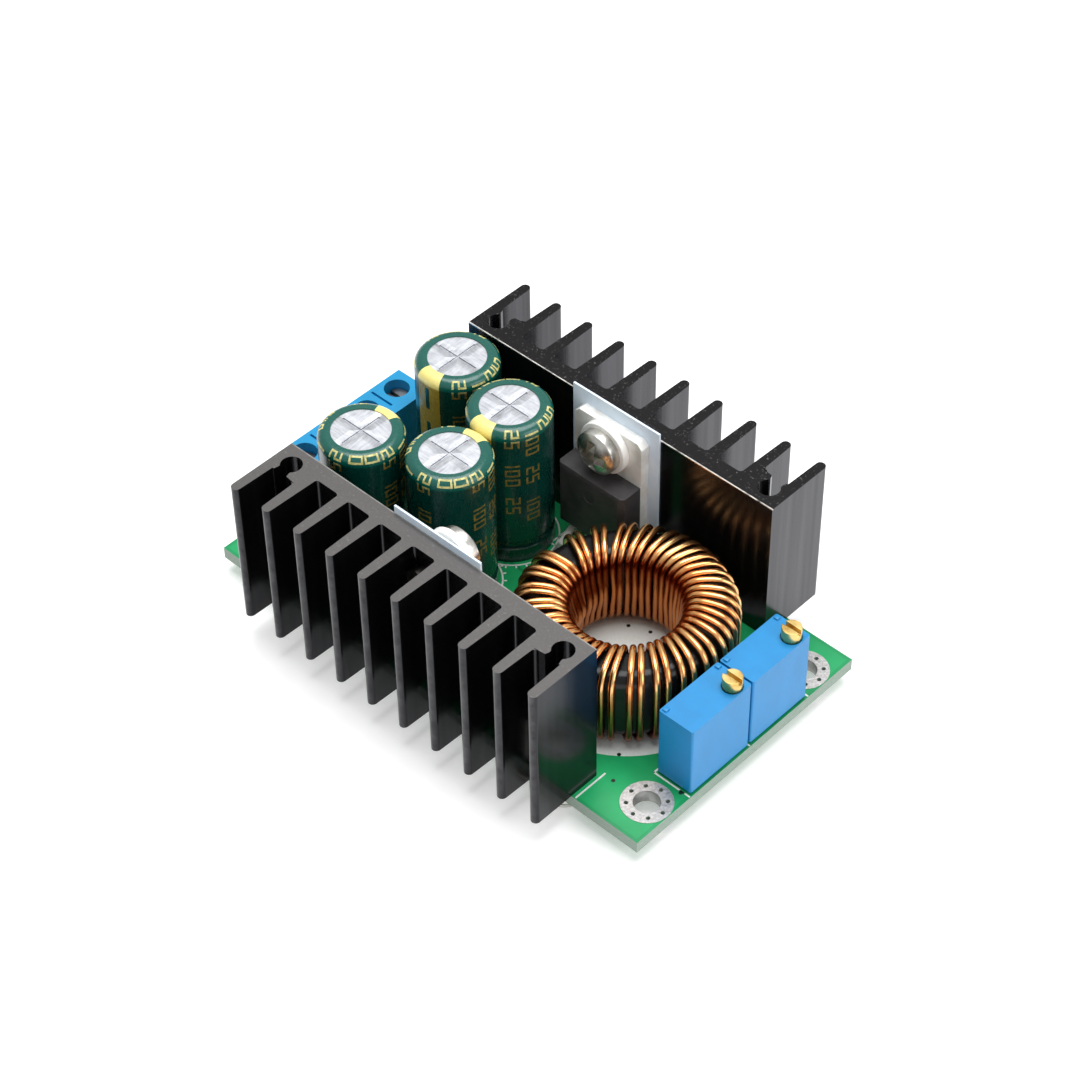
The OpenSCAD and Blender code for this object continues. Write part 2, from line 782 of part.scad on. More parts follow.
// A stop on the route of a wire is [place, direction, side]. The side stays level and square to the wire,
// so the rings round the stops never twist by more than the small turn between two crossings.
function above(point, z) = [point[0], point[1], z];
function heading(from, to) = above(to - from, 0) / norm(to - from);
function level_side(ahead, up) = up * [-ahead[1], ahead[0], 0];

// Stops of a quarter bend from an upright wire at a plan point into a level one, above it or below it
function bend_stops(at, z, ahead, up) = [for (b = bend_angles) [
    above(at, z) + bend_r * (1 - cos(b)) * ahead + [0, 0, up * bend_r * sin(b)],
    sin(b) * ahead + [0, 0, up * cos(b)],
    level_side(ahead, up)
]];

// The same bend taken the other way, from a level wire into the upright one that it reaches
function landing_stops(at, z, ahead, up) = [for (back = bend_angles) let (b = 90 - back) [
    above(at, z) - bend_r * (1 - cos(b)) * ahead + [0, 0, up * bend_r * sin(b)],
    sin(b) * ahead - [0, 0, up * cos(b)],
    level_side(ahead, up)
]];

// Crossing over the core, or under it with up = -1, from one plan point to another
function run_stops(from, to, up) =
    let (z = up > 0 ? coil_high - bend_r : coil_low + bend_r, ahead = heading(from, to))
    concat(bend_stops(from, z, ahead, up), landing_stops(to, z, ahead, up));

// Last crossing under the core, which bends down into the board
function exit_stops(from, to) =
    let (ahead = heading(from, to))
    concat(
        bend_stops(from, coil_low + bend_r, ahead, -1),
        [for (b = bend_angles) [
            above(to, coil_low) - exit_r * (1 - sin(b)) * ahead - [0, 0, exit_r * (1 - cos(b))],
            cos(b) * ahead - [0, 0, sin(b)],
            level_side(ahead, -1)
        ]],
        [[above(to, 0), [0, 0, -1], level_side(ahead, -1)]]
    );

// Whole route of one wire, from its first hole in the board to its last
function strand_stops(strand) = concat(
    [[above(outer_at(0, strand), 0), [0, 0, 1], level_side(heading(outer_at(0, strand), inner_at(0, strand)), 1)]],
    [for (turn = [0:turn_n - 1]) each concat(
        run_stops(outer_at(turn, strand), inner_at(turn, strand), 1),
        turn < turn_n - 1 ? run_stops(inner_at(turn, strand), outer_at(turn + 1, strand), -1) : []
    )],
    exit_stops(inner_at(turn_n - 1, strand), outer_at(turn_n, strand))
);

// Ring of points round the wire at a stop
function wire_ring(stop) = [for (i = [0:wire_sides - 1])
    let (a = i * 360 / wire_sides)
    stop[0] + wire_d / 2 * (cos(a) * stop[2] + sin(a) * cross(stop[1], stop[2]))
];

// Skin between neighbouring rings, two triangles to a side, and the two ends
function wire_faces(ring_n) = concat(
    [for (ring = [0:ring_n - 2], i = [0:wire_sides - 1])
        let (a = ring * wire_sides, b = a + wire_sides, j = (i + 1) % wire_sides)
        each [[a + i, b + j, a + j], [a + i, b + i, b + j]]
    ],
    [[for (i = [0:wire_sides - 1]) i]],
    [[for (i = [0:wire_sides - 1]) ring_n * wire_sides - 1 - i]]
);

// One of the two wires, swept as one length along its route
module winding_strand(strand) {
    stops = strand_stops(strand);
    translate([coil_x, 0, 0])
        polyhedron(points = [for (stop = stops) each wire_ring(stop)], faces = wire_faces(len(stops)));
}

module winding_strand_a() {
    color("peru") winding_strand(0);
}

module winding_strand_b() {
    color("chocolate") winding_strand(1);
}

// Puts its children at the foot of a trimmer, the near one at side = -1
module at_trimmer(side) {
    translate([trim_x, trimmer_y(side), board_t]) children();
}

// Puts its children on the axis of the adjusting screw of a trimmer
module at_adjuster() {
    translate([trim_t / 2 - adjust_front, trim_l / 2 - adjust_end, 0]) children();
}

module trimmer_body(side) {
    bevel = 0.25;
    pip = 0.6;
    color("dodgerblue") at_trimmer(side) difference() {
        union() {
            translate([-trim_t / 2, -trim_l / 2, foot_h]) linear_extrude(trim_h - foot_h)
                soft_rect([trim_t, trim_l], bevel);
            for (x = [-1, 1], y = [-1, 1]) scale([x, y, 1]) {
                translate([trim_t / 2 - bevel - pip, trim_l / 2 - bevel - pip, 0]) cube([pip, pip, foot_h + EPS]);
            }
            for (y = [-1, 1]) scale([1, y, 1]) {
                translate([-trim_t / 2 + bevel, trim_l / 2 - bevel - pip, trim_h - EPS]) cube([pip, pip, 0.25]);
            }
        }
        at_adjuster() {
            translate([0, 0, foot_h + 1]) cylinder(d = adjust_shank_d + 2 * run_clear, h = trim_h);
            translate([0, 0, trim_h - 0.4]) cylinder(d = adjust_d + 2 * run_clear, h = 1);
        }
    }
}

module trimmer_screw(side) {
    color("gold") at_trimmer(side) at_adjuster() difference() {
        union() {
            translate([0, 0, foot_h + 1.3]) cylinder(d = adjust_shank_d, h = trim_h - foot_h - 1.3);
            translate([0, 0, trim_h - 0.35]) cylinder(d = adjust_d, h = adjust_h + 0.35);
        }
        translate([-adjust_d, -0.28, trim_h + adjust_h - 0.7]) cube([2 * adjust_d, 0.56, 1]);
    }
}

module trimmer_pins(side) {
    color("silver") at_trimmer(side) for (step = [-1, 0, 1]) {
        translate([0, step * trim_pitch, -board_t]) cylinder(d = trim_pin_d, h = board_t + foot_h, $fn = 24);
    }
}

// Puts its children at the back face of a terminal way, with x = -1 pointing out to the wires
module at_way(way) {
    translate([term_back, way_y(way), board_t]) children();
}

// Side outline of a terminal block
module block_profile() {
    polygon([
        [0, foot_h], [0, term_h], [-term_top, term_h], [-term_depth, term_slope_z], [-term_depth, foot_h]
    ]);
}

// Chamber, wire entry, screw hole and access hole of one way
module way_space() {
    funnel = 0.35;
    translate([-chamber_end, -chamber_w / 2, -1]) cube([chamber_end - term_wall, chamber_w, chamber_z + 1]);
    translate([-clamp_x, 0, 0]) {
        cylinder(d = clamp_d + 2 * run_clear, h = term_h);
        translate([0, 0, head_seat]) cylinder(d = access_d, h = term_h);
    }
    translate([-chamber_end + 1, 0, cage_z + cage_t]) rotate([90, 0, -90]) {
        translate([-entry_w / 2, 0, 0]) linear_extrude(term_depth) soft_rect([entry_w, entry_h], 0.4);
        translate([-entry_w / 2 - funnel, -funnel, term_depth - chamber_end + 1 - 0.5])
            linear_extrude(1) soft_rect([entry_w + 2 * funnel, entry_h + 2 * funnel], 0.5);
    }
}

module terminal_housing(first) {
    groove_l = 3.4;
    groove_w = 0.3;
    foot_in = 0.7;
    foot_w = 0.6;
    color("deepskyblue") difference() {
        translate([term_back, way_y(first) - term_pitch / 2, board_t]) {
            translate([0, 2 * term_pitch, 0]) rotate([90, 0, 0]) linear_extrude(2 * term_pitch) block_profile();
            for (y = [foot_in, 2 * term_pitch - foot_in - foot_w], x = [foot_w, term_depth]) {
                translate([-x, y, 0]) cube([foot_w, foot_w, foot_h + EPS]);
            }
        }
        for (way = [first, first + 1]) at_way(way) way_space();
        translate([term_back - clamp_x - groove_l / 2, way_y(first + 0.5) - groove_w / 2, board_t + term_h - 0.5])
            cube([groove_l, groove_w, 1]);
    }
}

// Contact: pin through the board, strip up the back wall and a tongue that reaches into the cage
module terminal_contact() {
    tongue_l = clamp_x + cage_l / 2 - term_wall;
    translate([-term_wall - strip_t, -tongue_w / 2, 0]) cube([strip_t, tongue_w, tongue_z]);
    translate([-term_wall - tongue_l, -tongue_w / 2, tongue_z - strip_t]) cube([tongue_l, tongue_w, strip_t]);
    translate([-term_wall - strip_t, -term_pin_w / 2, -board_t]) cube([strip_t, term_pin_w, board_t + EPS]);
}

module terminal_contacts() {
    color("silver") for (way = [1:way_n]) at_way(way) terminal_contact();
}

module clamp_screw(way) {
    slot_w = 0.5;
    slot_depth = 0.6;
    color("silver") at_way(way) translate([-clamp_x, 0, 0]) difference() {
        union() {
            translate([0, 0, clamp_tip]) cylinder(d = clamp_d, h = head_seat - clamp_tip + 0.1);
            translate([0, 0, head_seat + 0.05]) cylinder(d = clamp_head_d, h = clamp_head_h);
        }
        translate([-clamp_head_d, -slot_w / 2, head_seat + 0.05 + clamp_head_h - slot_depth])
            cube([2 * clamp_head_d, slot_w, 1]);
    }
}

// Box that the screw draws up: open to the wire and to the tongue, threaded in its top
module clamp_cage(way) {
    inner_w = cage_w - 2 * cage_t;
    color("khaki") at_way(way) translate([-clamp_x, 0, cage_z]) difference() {
        translate([-cage_l / 2, -cage_w / 2, 0]) cube([cage_l, cage_w, cage_h]);
        translate([-cage_l, -inner_w / 2, cage_t]) cube([2 * cage_l, inner_w, cage_h - cage_t - cage_top_t]);
        cylinder(d = clamp_d + 0.1, h = cage_h + 1);
    }
}

// Puts its children on the underside of the board, seen from below
module under(x, y, turn = 0) {
    translate([x, y, 0]) rotate([180, 0, turn]) children();
}

module amplifier_body() {
    bevel = 0.35;
    color("dimgray") under(amp_at[0], amp_at[1]) translate([-amp_l / 2, 0, amp_gap])
        rotate([90, 0, 90]) linear_extrude(amp_l) polygon([
            [-amp_w / 2, 0], [-amp_w / 2, amp_t - bevel], [bevel - amp_w / 2, amp_t],
            [amp_w / 2 - bevel, amp_t], [amp_w / 2, amp_t - bevel], [amp_w / 2, 0]
        ]);
}

// Gull-wing lead: shoulder out of the body, down and out along the board
module gull_lead() {
    t = 0.2;
    width = 0.4;
    knee = 0.45;
    reach = 1.05;
    height = amp_gap + amp_t / 2;
    translate([-width / 2, 0, 0]) rotate([90, 0, 90]) linear_extrude(width) polygon([
        [amp_w / 2, height], [amp_w / 2 + knee, height], [amp_w / 2 + knee + t, t], [amp_w / 2 + reach, t],
        [amp_w / 2 + reach, 0], [amp_w / 2 + knee, 0], [amp_w / 2 + knee - t, height - t],
        [amp_w / 2, height - t]
    ]);
}

module amplifier_leads() {
    color("silver") under(amp_at[0], amp_at[1]) for (step = [-1.5:1.5], side = [-1, 1]) scale([1, side, 1]) {
        translate([step * amp_pitch, 0, 0]) gull_lead();
    }
}

// Small three-lead package: two leads on one side and one on the other
module voltage_reference() {
    size = [2.9, 1.3, 1];
    lead = [0.4, 0.6, 0.15];
    lead_x = 0.95;
    bite = 0.05;
    color("dimgray") under(reference_at[0], reference_at[1]) {
        translate([-size[0] / 2, -size[1] / 2, amp_gap]) cube(size);
        for (x = [-lead_x, lead_x]) {
            translate([x - lead[0] / 2, bite - size[1] / 2 - lead[1], 0]) cube(lead);
        }
        translate([-lead[0] / 2, size[1] / 2 - bite, 0]) cube(lead);
    }
}

module sense_resistor() {
    color("dimgray") under(shunt_at[0], shunt_at[1]) translate([-shunt_l / 2, -shunt_w / 2, 0])
        cube([shunt_l, shunt_w, shunt_t]);
}

// Small chip part with its long side along X
module chip(height) {
    translate([-chip_l / 2, -chip_w / 2, 0]) cube([chip_l, chip_w, height]);
}

module chip_resistors() {
    color("dimgray") for (i = [0:4]) {
        under(chip_x + i * chip_step, resistor_y) chip(resistor_t);
    }
}

module chip_capacitors() {
    color("tan") for (i = [0:3]) {
        under(chip_x + i * chip_step, ceramic_y) chip(ceramic_t);
    }
}

module indicator_leds() {
    color("red") for (y = [-led_step / 2, led_step / 2]) {
        under(led_x, y, 90) chip(led_t);
    }
}

circuit_board();
hole_pads();
solder_joints();
heatsink_near();
heatsink_far();
heatsink_screws();
insulator_near();
insulator_far();
regulator_body();
regulator_tab();
regulator_leads();
diode_body();
diode_tab();
diode_leads();
shoulder_bushes();
device_screws();
capacitor_sleeve(1);  // capacitor_1_sleeve
capacitor_can(1);  // capacitor_1_can
capacitor_bung(1);  // capacitor_1_bung
capacitor_leads(1);  // capacitor_1_leads
capacitor_sleeve(2);  // capacitor_2_sleeve
capacitor_can(2);  // capacitor_2_can
capacitor_bung(2);  // capacitor_2_bung
capacitor_leads(2);  // capacitor_2_leads
capacitor_sleeve(3);  // capacitor_3_sleeve
capacitor_can(3);  // capacitor_3_can
capacitor_bung(3);  // capacitor_3_bung
capacitor_leads(3);  // capacitor_3_leads
capacitor_sleeve(4);  // capacitor_4_sleeve
capacitor_can(4);  // capacitor_4_can
capacitor_bung(4);  // capacitor_4_bung
capacitor_leads(4);  // capacitor_4_leads
inductor_core();
winding_strand_a();
winding_strand_b();
trimmer_body(-1);  // trimmer_1_body
trimmer_screw(-1);  // trimmer_1_screw
trimmer_pins(-1);  // trimmer_1_pins
trimmer_body(1);  // trimmer_2_body
trimmer_screw(1);  // trimmer_2_screw
trimmer_pins(1);  // trimmer_2_pins
terminal_housing(1);  // terminal_1_housing
terminal_housing(3);  // terminal_2_housing
terminal_contacts();
clamp_screw(1);  // clamp_screw_1
clamp_screw(2);  // clamp_screw_2
clamp_screw(3);  // clamp_screw_3
clamp_screw(4);  // clamp_screw_4
clamp_cage(1);  // clamp_cage_1
clamp_cage(2);  // clamp_cage_2
clamp_cage(3);  // clamp_cage_3
clamp_cage(4);  // clamp_cage_4
amplifier_body();
amplifier_leads();
voltage_reference();
sense_resistor();
chip_resistors();
chip_capacitors();
indicator_leds();
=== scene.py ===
"""Looks of a step-down power converter module, laid out as an add-on and run as a script."""

import json
import math
import random

import bmesh
import bpy
from mathutils import Matrix, Vector

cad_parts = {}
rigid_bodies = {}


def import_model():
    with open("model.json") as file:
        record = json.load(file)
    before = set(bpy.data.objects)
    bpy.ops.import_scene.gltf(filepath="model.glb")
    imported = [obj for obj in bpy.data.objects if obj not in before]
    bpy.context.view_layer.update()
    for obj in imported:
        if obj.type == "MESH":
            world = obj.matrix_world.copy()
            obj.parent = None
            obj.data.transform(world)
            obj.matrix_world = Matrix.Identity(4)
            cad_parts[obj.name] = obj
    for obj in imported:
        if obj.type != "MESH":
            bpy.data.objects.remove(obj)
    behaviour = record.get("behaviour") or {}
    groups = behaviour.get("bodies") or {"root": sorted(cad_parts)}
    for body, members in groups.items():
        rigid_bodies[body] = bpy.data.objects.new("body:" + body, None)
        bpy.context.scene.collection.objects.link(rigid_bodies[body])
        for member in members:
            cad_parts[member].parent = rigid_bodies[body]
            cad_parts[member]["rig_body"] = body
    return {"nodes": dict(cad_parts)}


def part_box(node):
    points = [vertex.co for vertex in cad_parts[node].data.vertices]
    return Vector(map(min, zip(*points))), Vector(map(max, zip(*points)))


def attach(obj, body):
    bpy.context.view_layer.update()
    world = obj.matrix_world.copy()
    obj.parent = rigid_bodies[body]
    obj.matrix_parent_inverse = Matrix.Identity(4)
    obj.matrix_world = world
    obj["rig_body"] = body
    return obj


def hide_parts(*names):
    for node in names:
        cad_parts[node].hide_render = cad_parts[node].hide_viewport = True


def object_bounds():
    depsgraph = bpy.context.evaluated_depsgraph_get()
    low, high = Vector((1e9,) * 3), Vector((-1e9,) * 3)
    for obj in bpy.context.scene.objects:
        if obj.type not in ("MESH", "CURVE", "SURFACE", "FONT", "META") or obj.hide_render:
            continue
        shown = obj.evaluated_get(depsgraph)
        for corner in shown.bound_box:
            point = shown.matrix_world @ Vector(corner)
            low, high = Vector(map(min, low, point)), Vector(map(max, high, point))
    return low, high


bl_info = {
    "name": "Buck Converter Module",
    "version": (1, 0, 0),
    "blender": (4, 5, 0),
    "location": "View3D > Sidebar > Converter",
    "description": "Builds the finished looks of a step-down converter module round its fixed frame",
    "category": "Object",
}

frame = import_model()
CAD_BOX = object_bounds()

MM = 0.001
BODY = "module"
SEED = 7


# Sizes that come from the frame, in millimetres

def box_mm(node):
    """Lowest and highest corners of a node, in millimetres."""
    low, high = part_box(node)
    return low / MM, high / MM


def middle_mm(node):
    """Middle of a node's box, in millimetres."""
    low, high = box_mm(node)
    return (low + high) / 2


BOARD_LOW, BOARD_HIGH = box_mm("circuit_board")
BOARD_T = BOARD_HIGH.z
BOARD_MID = (BOARD_LOW + BOARD_HIGH) / 2
BOARD_HALF = (BOARD_HIGH - BOARD_LOW) / 2
SINK_NEAR = box_mm("heatsink_near")
SINK_FAR = box_mm("heatsink_far")
SINK_FACE = SINK_FAR[0].y
SINK_TOP = SINK_FAR[1].z
CAPS = [middle_mm(f"capacitor_{i}_sleeve") for i in (1, 2, 3, 4)]
CAP_LOW, CAP_HIGH = box_mm("capacitor_1_sleeve")
CAP_R = (CAP_HIGH.x - CAP_LOW.x) / 2
STRIPE_SIDE = (-1, -1, 1, 1)  # way along Y that each capacitor's stripe faces
COIL = middle_mm("inductor_core")
CORE_LOW, CORE_HIGH = box_mm("inductor_core")
CORE_R = (CORE_HIGH.x - CORE_LOW.x) / 2
CORE_BAND = 4.8  # width of the core's ring in plan
TRIMMER_BOXES = [box_mm(f"trimmer_{i}_body") for i in (1, 2)]
TERMINAL_BOXES = [box_mm(f"terminal_{i}_housing") for i in (1, 2)]


def welded(node):
    """A node's mesh with its doubled points joined, to be freed after use."""
    shape = bmesh.new()
    shape.from_mesh(frame["nodes"][node].data)
    bmesh.ops.remove_doubles(shape, verts=shape.verts, dist=1e-7)
    return shape


def solids(node):
    """Lowest and highest corners of each separate solid of a node, in millimetres, in a fixed order."""
    shape = welded(node)
    waiting, boxes = set(shape.verts), []
    while waiting:
        found = fresh = {waiting.pop()}
        while fresh:
            fresh = {e.other_vert(v) for v in fresh for e in v.link_edges} & waiting
            waiting -= fresh
            found = found | fresh
        boxes.append([Vector([pick(v.co[k] for v in found) for k in range(3)]) / MM for pick in (min, max)])
    shape.free()
    return sorted(boxes, key=lambda box: tuple(round(c, 3) for c in (*box[0], *box[1])))


# Shader building

def arithmetic(operation, reflected=False):
    """A method of two operands that adds one Math node."""
    def method(self, other):
        """The node's result."""
        return self.math(operation, *((other, self) if reflected else (self, other)))

    return method


class Socket:
    """A shader socket that takes part in arithmetic: each operator adds one Math node."""

    __add__, __radd__ = arithmetic("ADD"), arithmetic("ADD", reflected=True)
    __sub__, __rsub__ = arithmetic("SUBTRACT"), arithmetic("SUBTRACT", reflected=True)
    __mul__, __rmul__ = arithmetic("MULTIPLY"), arithmetic("MULTIPLY", reflected=True)
    __truediv__, __rtruediv__ = arithmetic("DIVIDE"), arithmetic("DIVIDE", reflected=True)
    __pow__, __rpow__ = arithmetic("POWER"), arithmetic("POWER", reflected=True)
    __gt__, __lt__ = arithmetic("GREATER_THAN"), arithmetic("LESS_THAN")
    largest, smallest = arithmetic("MAXIMUM"), arithmetic("MINIMUM")

    def __init__(self, socket):
        self.socket = socket

    def math(self, operation, *values, clamp=False):
        """Adds one Math node on numbers and sockets."""
        settings = {"operation": operation, "use_clamp": clamp}
        return add_node(self.socket.id_data, "ShaderNodeMath", settings, dict(enumerate(values)))

    def __abs__(self):
        return self.math("ABSOLUTE", self)

    def fade(self, start, end):
        """0 at start and 1 at end, clamped."""
        return self.math("DIVIDE", self - start, end - start, clamp=True)


def connect(tree, slot, value):
    """Links a socket into an input, or sets the input's value."""
    if isinstance(value, Socket):
        tree.links.new(value.socket, slot)
    elif hasattr(slot.default_value, "__len__") and len(slot.default_value) == 4 and len(value) == 3:
        slot.default_value = (*value, 1.0)
    else:
        slot.default_value = value


def add_node(tree, kind, settings=None, sockets=None, out=0):
    """Any node: its settings are set first, then its sockets are linked or set."""
    node = tree.nodes.new(kind)
    for key, value in (settings or {}).items():
        setattr(node, key, value)
    for key, value in (sockets or {}).items():
        connect(tree, node.inputs[key], value)
    return Socket(node.outputs[out])


def tint(red, green, blue):
    """Linear colour from 0 to 255 display values."""
    return tuple(
        ((c / 255 + 0.055) / 1.055) ** 2.4 if c > 10 else c / 255 / 12.92 for c in (red, green, blue)
    )


def shade(base, factor):
    """A colour made darker or paler."""
    return tuple(factor * c for c in base)


class Finish:
    """A node material under construction. Lengths in its nodes are millimetres."""

    def __init__(self, name):
        self.material = bpy.data.materials.new(name)
        self.material.use_nodes = True
        self.tree = self.material.node_tree
        self.shader = self.tree.nodes["Principled BSDF"]
        self.place = self.node(
            "ShaderNodeVectorMath", {"operation": "SCALE"},
            {"Vector": self.node("ShaderNodeTexCoord", out="Object"), "Scale": 1 / MM},
        )

    def node(self, kind, settings=None, sockets=None, out=0):
        """Any node of this material, by its type, settings and sockets."""
        return add_node(self.tree, kind, settings, sockets, out)

    def axes(self, vector=None):
        """The three parts of a vector, the place on the surface if none is given."""
        split = self.node("ShaderNodeSeparateXYZ", sockets={0: vector or self.place})
        return [Socket(out) for out in split.socket.node.outputs]

    def facing(self):
        """The three parts of the flat normal."""
        return self.axes(self.node("ShaderNodeNewGeometry", out="True Normal"))

    def stretched(self, x, y, z):
        """The place with its axes scaled, to draw a texture out along one of them."""
        return self.node("ShaderNodeVectorMath", {"operation": "MULTIPLY"}, {0: self.place, 1: (x, y, z)})

    def noise(self, scale, detail=2.0, rough=0.5, vector=None):
        """Clouds from 0 to 1, scale of them to a millimetre."""
        return self.node(
            "ShaderNodeTexNoise", {},
            {"Vector": vector or self.place, "Scale": scale, "Detail": detail, "Roughness": rough},
        )

    def spots(self, scale):
        """Distance from scattered points, scale of them to a millimetre."""
        return self.node("ShaderNodeTexVoronoi", {}, {"Vector": self.place, "Scale": scale})

    def mix(self, factor, first, second):
        """Colour that goes from first to second."""
        return self.node(
            "ShaderNodeMix", {"data_type": "RGBA", "clamp_factor": True},
            {0: factor, 6: first, 7: second}, out=2,
        )

    def bump(self, height, depth):
        """Dents and rises, depth in millimetres for a height of 1."""
        return self.node("ShaderNodeBump", {}, {"Height": height, "Distance": depth * MM, "Strength": 1.0})

    def set(self, **sockets):
        """Sets or links the shader's own sockets: words in a name are joined by one underscore."""
        for key, value in sockets.items():
            connect(self.tree, self.shader.inputs[key.replace("_", " ")], value)
        return self.material


# Mesh building

def around(centre, radius, turn):
    """Point in plan at a turn, in radians, round a centre."""
    return centre[0] + radius * math.cos(turn), centre[1] + radius * math.sin(turn)


class Shape:
    """Vertices in millimetres and faces, gathered into one mesh."""

    def __init__(self):
        self.points = []
        self.faces = []

    def add(self, points, faces):
        """Takes in points and the faces on them."""
        start = len(self.points)
        self.points += [tuple(p) for p in points]
        self.faces += [tuple(start + i for i in face) for face in faces]

    def prism(self, outline, low, high):
        """Upright prism on a plan outline."""
        n = len(outline)
        points = [(x, y, z) for z in (low, high) for x, y in outline]
        faces = [tuple(range(n - 1, -1, -1)), tuple(range(n, 2 * n))]
        faces += [(i, (i + 1) % n, n + (i + 1) % n, n + i) for i in range(n)]
        self.add(points, faces)

    def disc(self, centre, radius, low, high, n=20):
        """Upright round prism."""
        self.prism([around(centre, radius, 2 * math.pi * i / n) for i in range(n)], low, high)

    def ring(self, centre, inner, outer, low, high, n=64):
        """Flat ring with square edges."""
        points, faces = [], []
        for i in range(n):
            points += [
                (*around(centre, r, 2 * math.pi * i / n), z)
                for r, z in ((inner, low), (outer, low), (outer, high), (inner, high))
            ]
            a, b = 4 * i, 4 * ((i + 1) % n)
            faces += [(a + (j + 1) % 4, b + (j + 1) % 4, b + j, a + j) for j in range(4)]
        self.add(points, faces)

    def tube(self, path, radius, sides=12):
        """Round wire along a path, carried forward without twist, with flat ends."""
        path = [Vector(p) for p in path]
        ahead = [(b - a).normalized() for a, b in zip(path, path[1:])]
        ahead = [ahead[0]] + [(a + b).normalized() for a, b in zip(ahead, ahead[1:])] + [ahead[-1]]
        side = ahead[0].orthogonal().normalized()
        points, faces = [], []
        for point, direction in zip(path, ahead):
            side = (side - side.dot(direction) * direction).normalized()
            up = direction.cross(side)
            for i in range(sides):
                a = 2 * math.pi * i / sides
                points.append(point + radius * (math.cos(a) * side + math.sin(a) * up))
        for k in range(len(path) - 1):
            for i in range(sides):
                a, b = k * sides + i, k * sides + (i + 1) % sides
                faces.append((a, b, b + sides, a + sides))
        faces += [tuple(range(sides - 1, -1, -1)), tuple(len(points) - sides + i for i in range(sides))]
        self.add(points, faces)

    def slab(self, place, first, last, low, high, step):
        """Thin slab laid on a curved surface: place turns a way across, a way up and a lift into a point."""
        width, height = last[0] - first[0], last[1] - first[1]
        across, up = max(1, round(width / step)), max(1, round(height / step))
        points = [
            place(first[0] + width * i / across, first[1] + height * j / up, lift)
            for lift in (low, high) for j in range(up + 1) for i in range(across + 1)
        ]
        row, layer = across + 1, (across + 1) * (up + 1)
        faces = []
        for j in range(up):
            for i in range(across):
                a = j * row + i
                faces.append((a, a + row, a + row + 1, a + 1))
                faces.append((layer + a, layer + a + 1, layer + a + row + 1, layer + a + row))
        top = up * row
        rim = [*range(across), *range(across, top + across, row), *range(top + across, top, -1)]
        rim += range(top, 0, -row)
        faces += [(a, b, layer + b, layer + a) for a, b in zip(rim, rim[1:] + rim[:1])]
        self.add(points, faces)

    def line(self, path, width, low, high):
        """Flat trace along a plan path, with round ends and corners."""
        for start, end in zip(path, path[1:]):
            turn = math.atan2(end[1] - start[1], end[0] - start[0])
            outline = [
                around(centre, width / 2, turn + math.radians(first + 30 * i))
                for centre, first in ((end, -90), (start, 90)) for i in range(7)
            ]
            self.prism(outline, low, high)

    def piece(self, name, finish, slot, replaces=(), smooth=None):
        """The mesh as a piece of the module's fixed body."""
        mesh = bpy.data.meshes.new(name)
        mesh.from_pydata([(x * MM, y * MM, z * MM) for x, y, z in self.points], [], self.faces)
        mesh.update()
        return place_piece(mesh, name, finish, BODY, replaces, smooth)


def place_piece(mesh, name, finish, body, replaces=(), smooth=None):
    """Puts a mesh in the scene as a piece on a body. Edges under the angle smooth are shaded smooth."""
    if smooth is not None:
        mesh.shade_smooth()
        mesh.set_sharp_from_angle(angle=math.radians(smooth))
    piece = bpy.data.objects.new(name, mesh)
    bpy.context.scene.collection.objects.link(piece)
    mesh.materials.clear()
    mesh.materials.append(finish)
    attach(piece, body)
    if replaces:
        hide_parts(*replaces)
    return piece


def body_of(node):
    """The body that a node rides on."""
    return frame["nodes"][node]["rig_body"]


def softened(node, name, finish, width, angle=25.0):
    """A copy of a solid with its edges sharper than the angle rounded, which stands for the solid."""
    shape = welded(node)
    bmesh.ops.dissolve_limit(
        shape, angle_limit=math.radians(0.5), verts=shape.verts, edges=shape.edges, delimit=set()
    )
    sharp = [
        e for e in shape.edges if len(e.link_faces) == 2 and e.calc_face_angle(0.0) > math.radians(angle)
    ]
    bmesh.ops.bevel(
        shape, geom=sharp, offset=width * MM, offset_type="OFFSET", segments=2, profile=0.5,
        affect="EDGES", clamp_overlap=True,
    )
    mesh = bpy.data.meshes.new(name)
    shape.to_mesh(mesh)
    shape.free()
    piece = place_piece(mesh, name, finish, body_of(node), [node], smooth=60.0)
    piece.modifiers.new("flat_faces_first", "WEIGHTED_NORMAL").keep_sharp = True
    return piece


def dress(finish, *nodes):
    """Gives carried-over solids their finish."""
    for node in nodes:
        part = frame["nodes"][node]
        if not part.material_slots:
            part.data.materials.append(finish)
        for place in part.material_slots:
            place.material = finish


def rectangle(first, last):
    """Outline of a plan rectangle from two corners."""
    return [first, (last[0], first[1]), last, (first[0], last[1])]


# Finishes

EDGE_WEAR_AND_SHINE = 0.14  # width of the bright edges of the heatsinks: rubbed bare metal and a painted highlight
SHADE_FROM = 9.0  # height above which the screw ends between the fins get painted shade
POUR_INSET = 0.4  # gap between the copper areas and the board's edge
SHOULDER_Z = 18.95  # height at which a sleeve turns over the can's shoulder
STRIPE_W = 3.4
STRIPE_TOP = SHOULDER_Z - 0.4
MINUS_STEP = 5.2  # from one minus sign of the stripe to the next

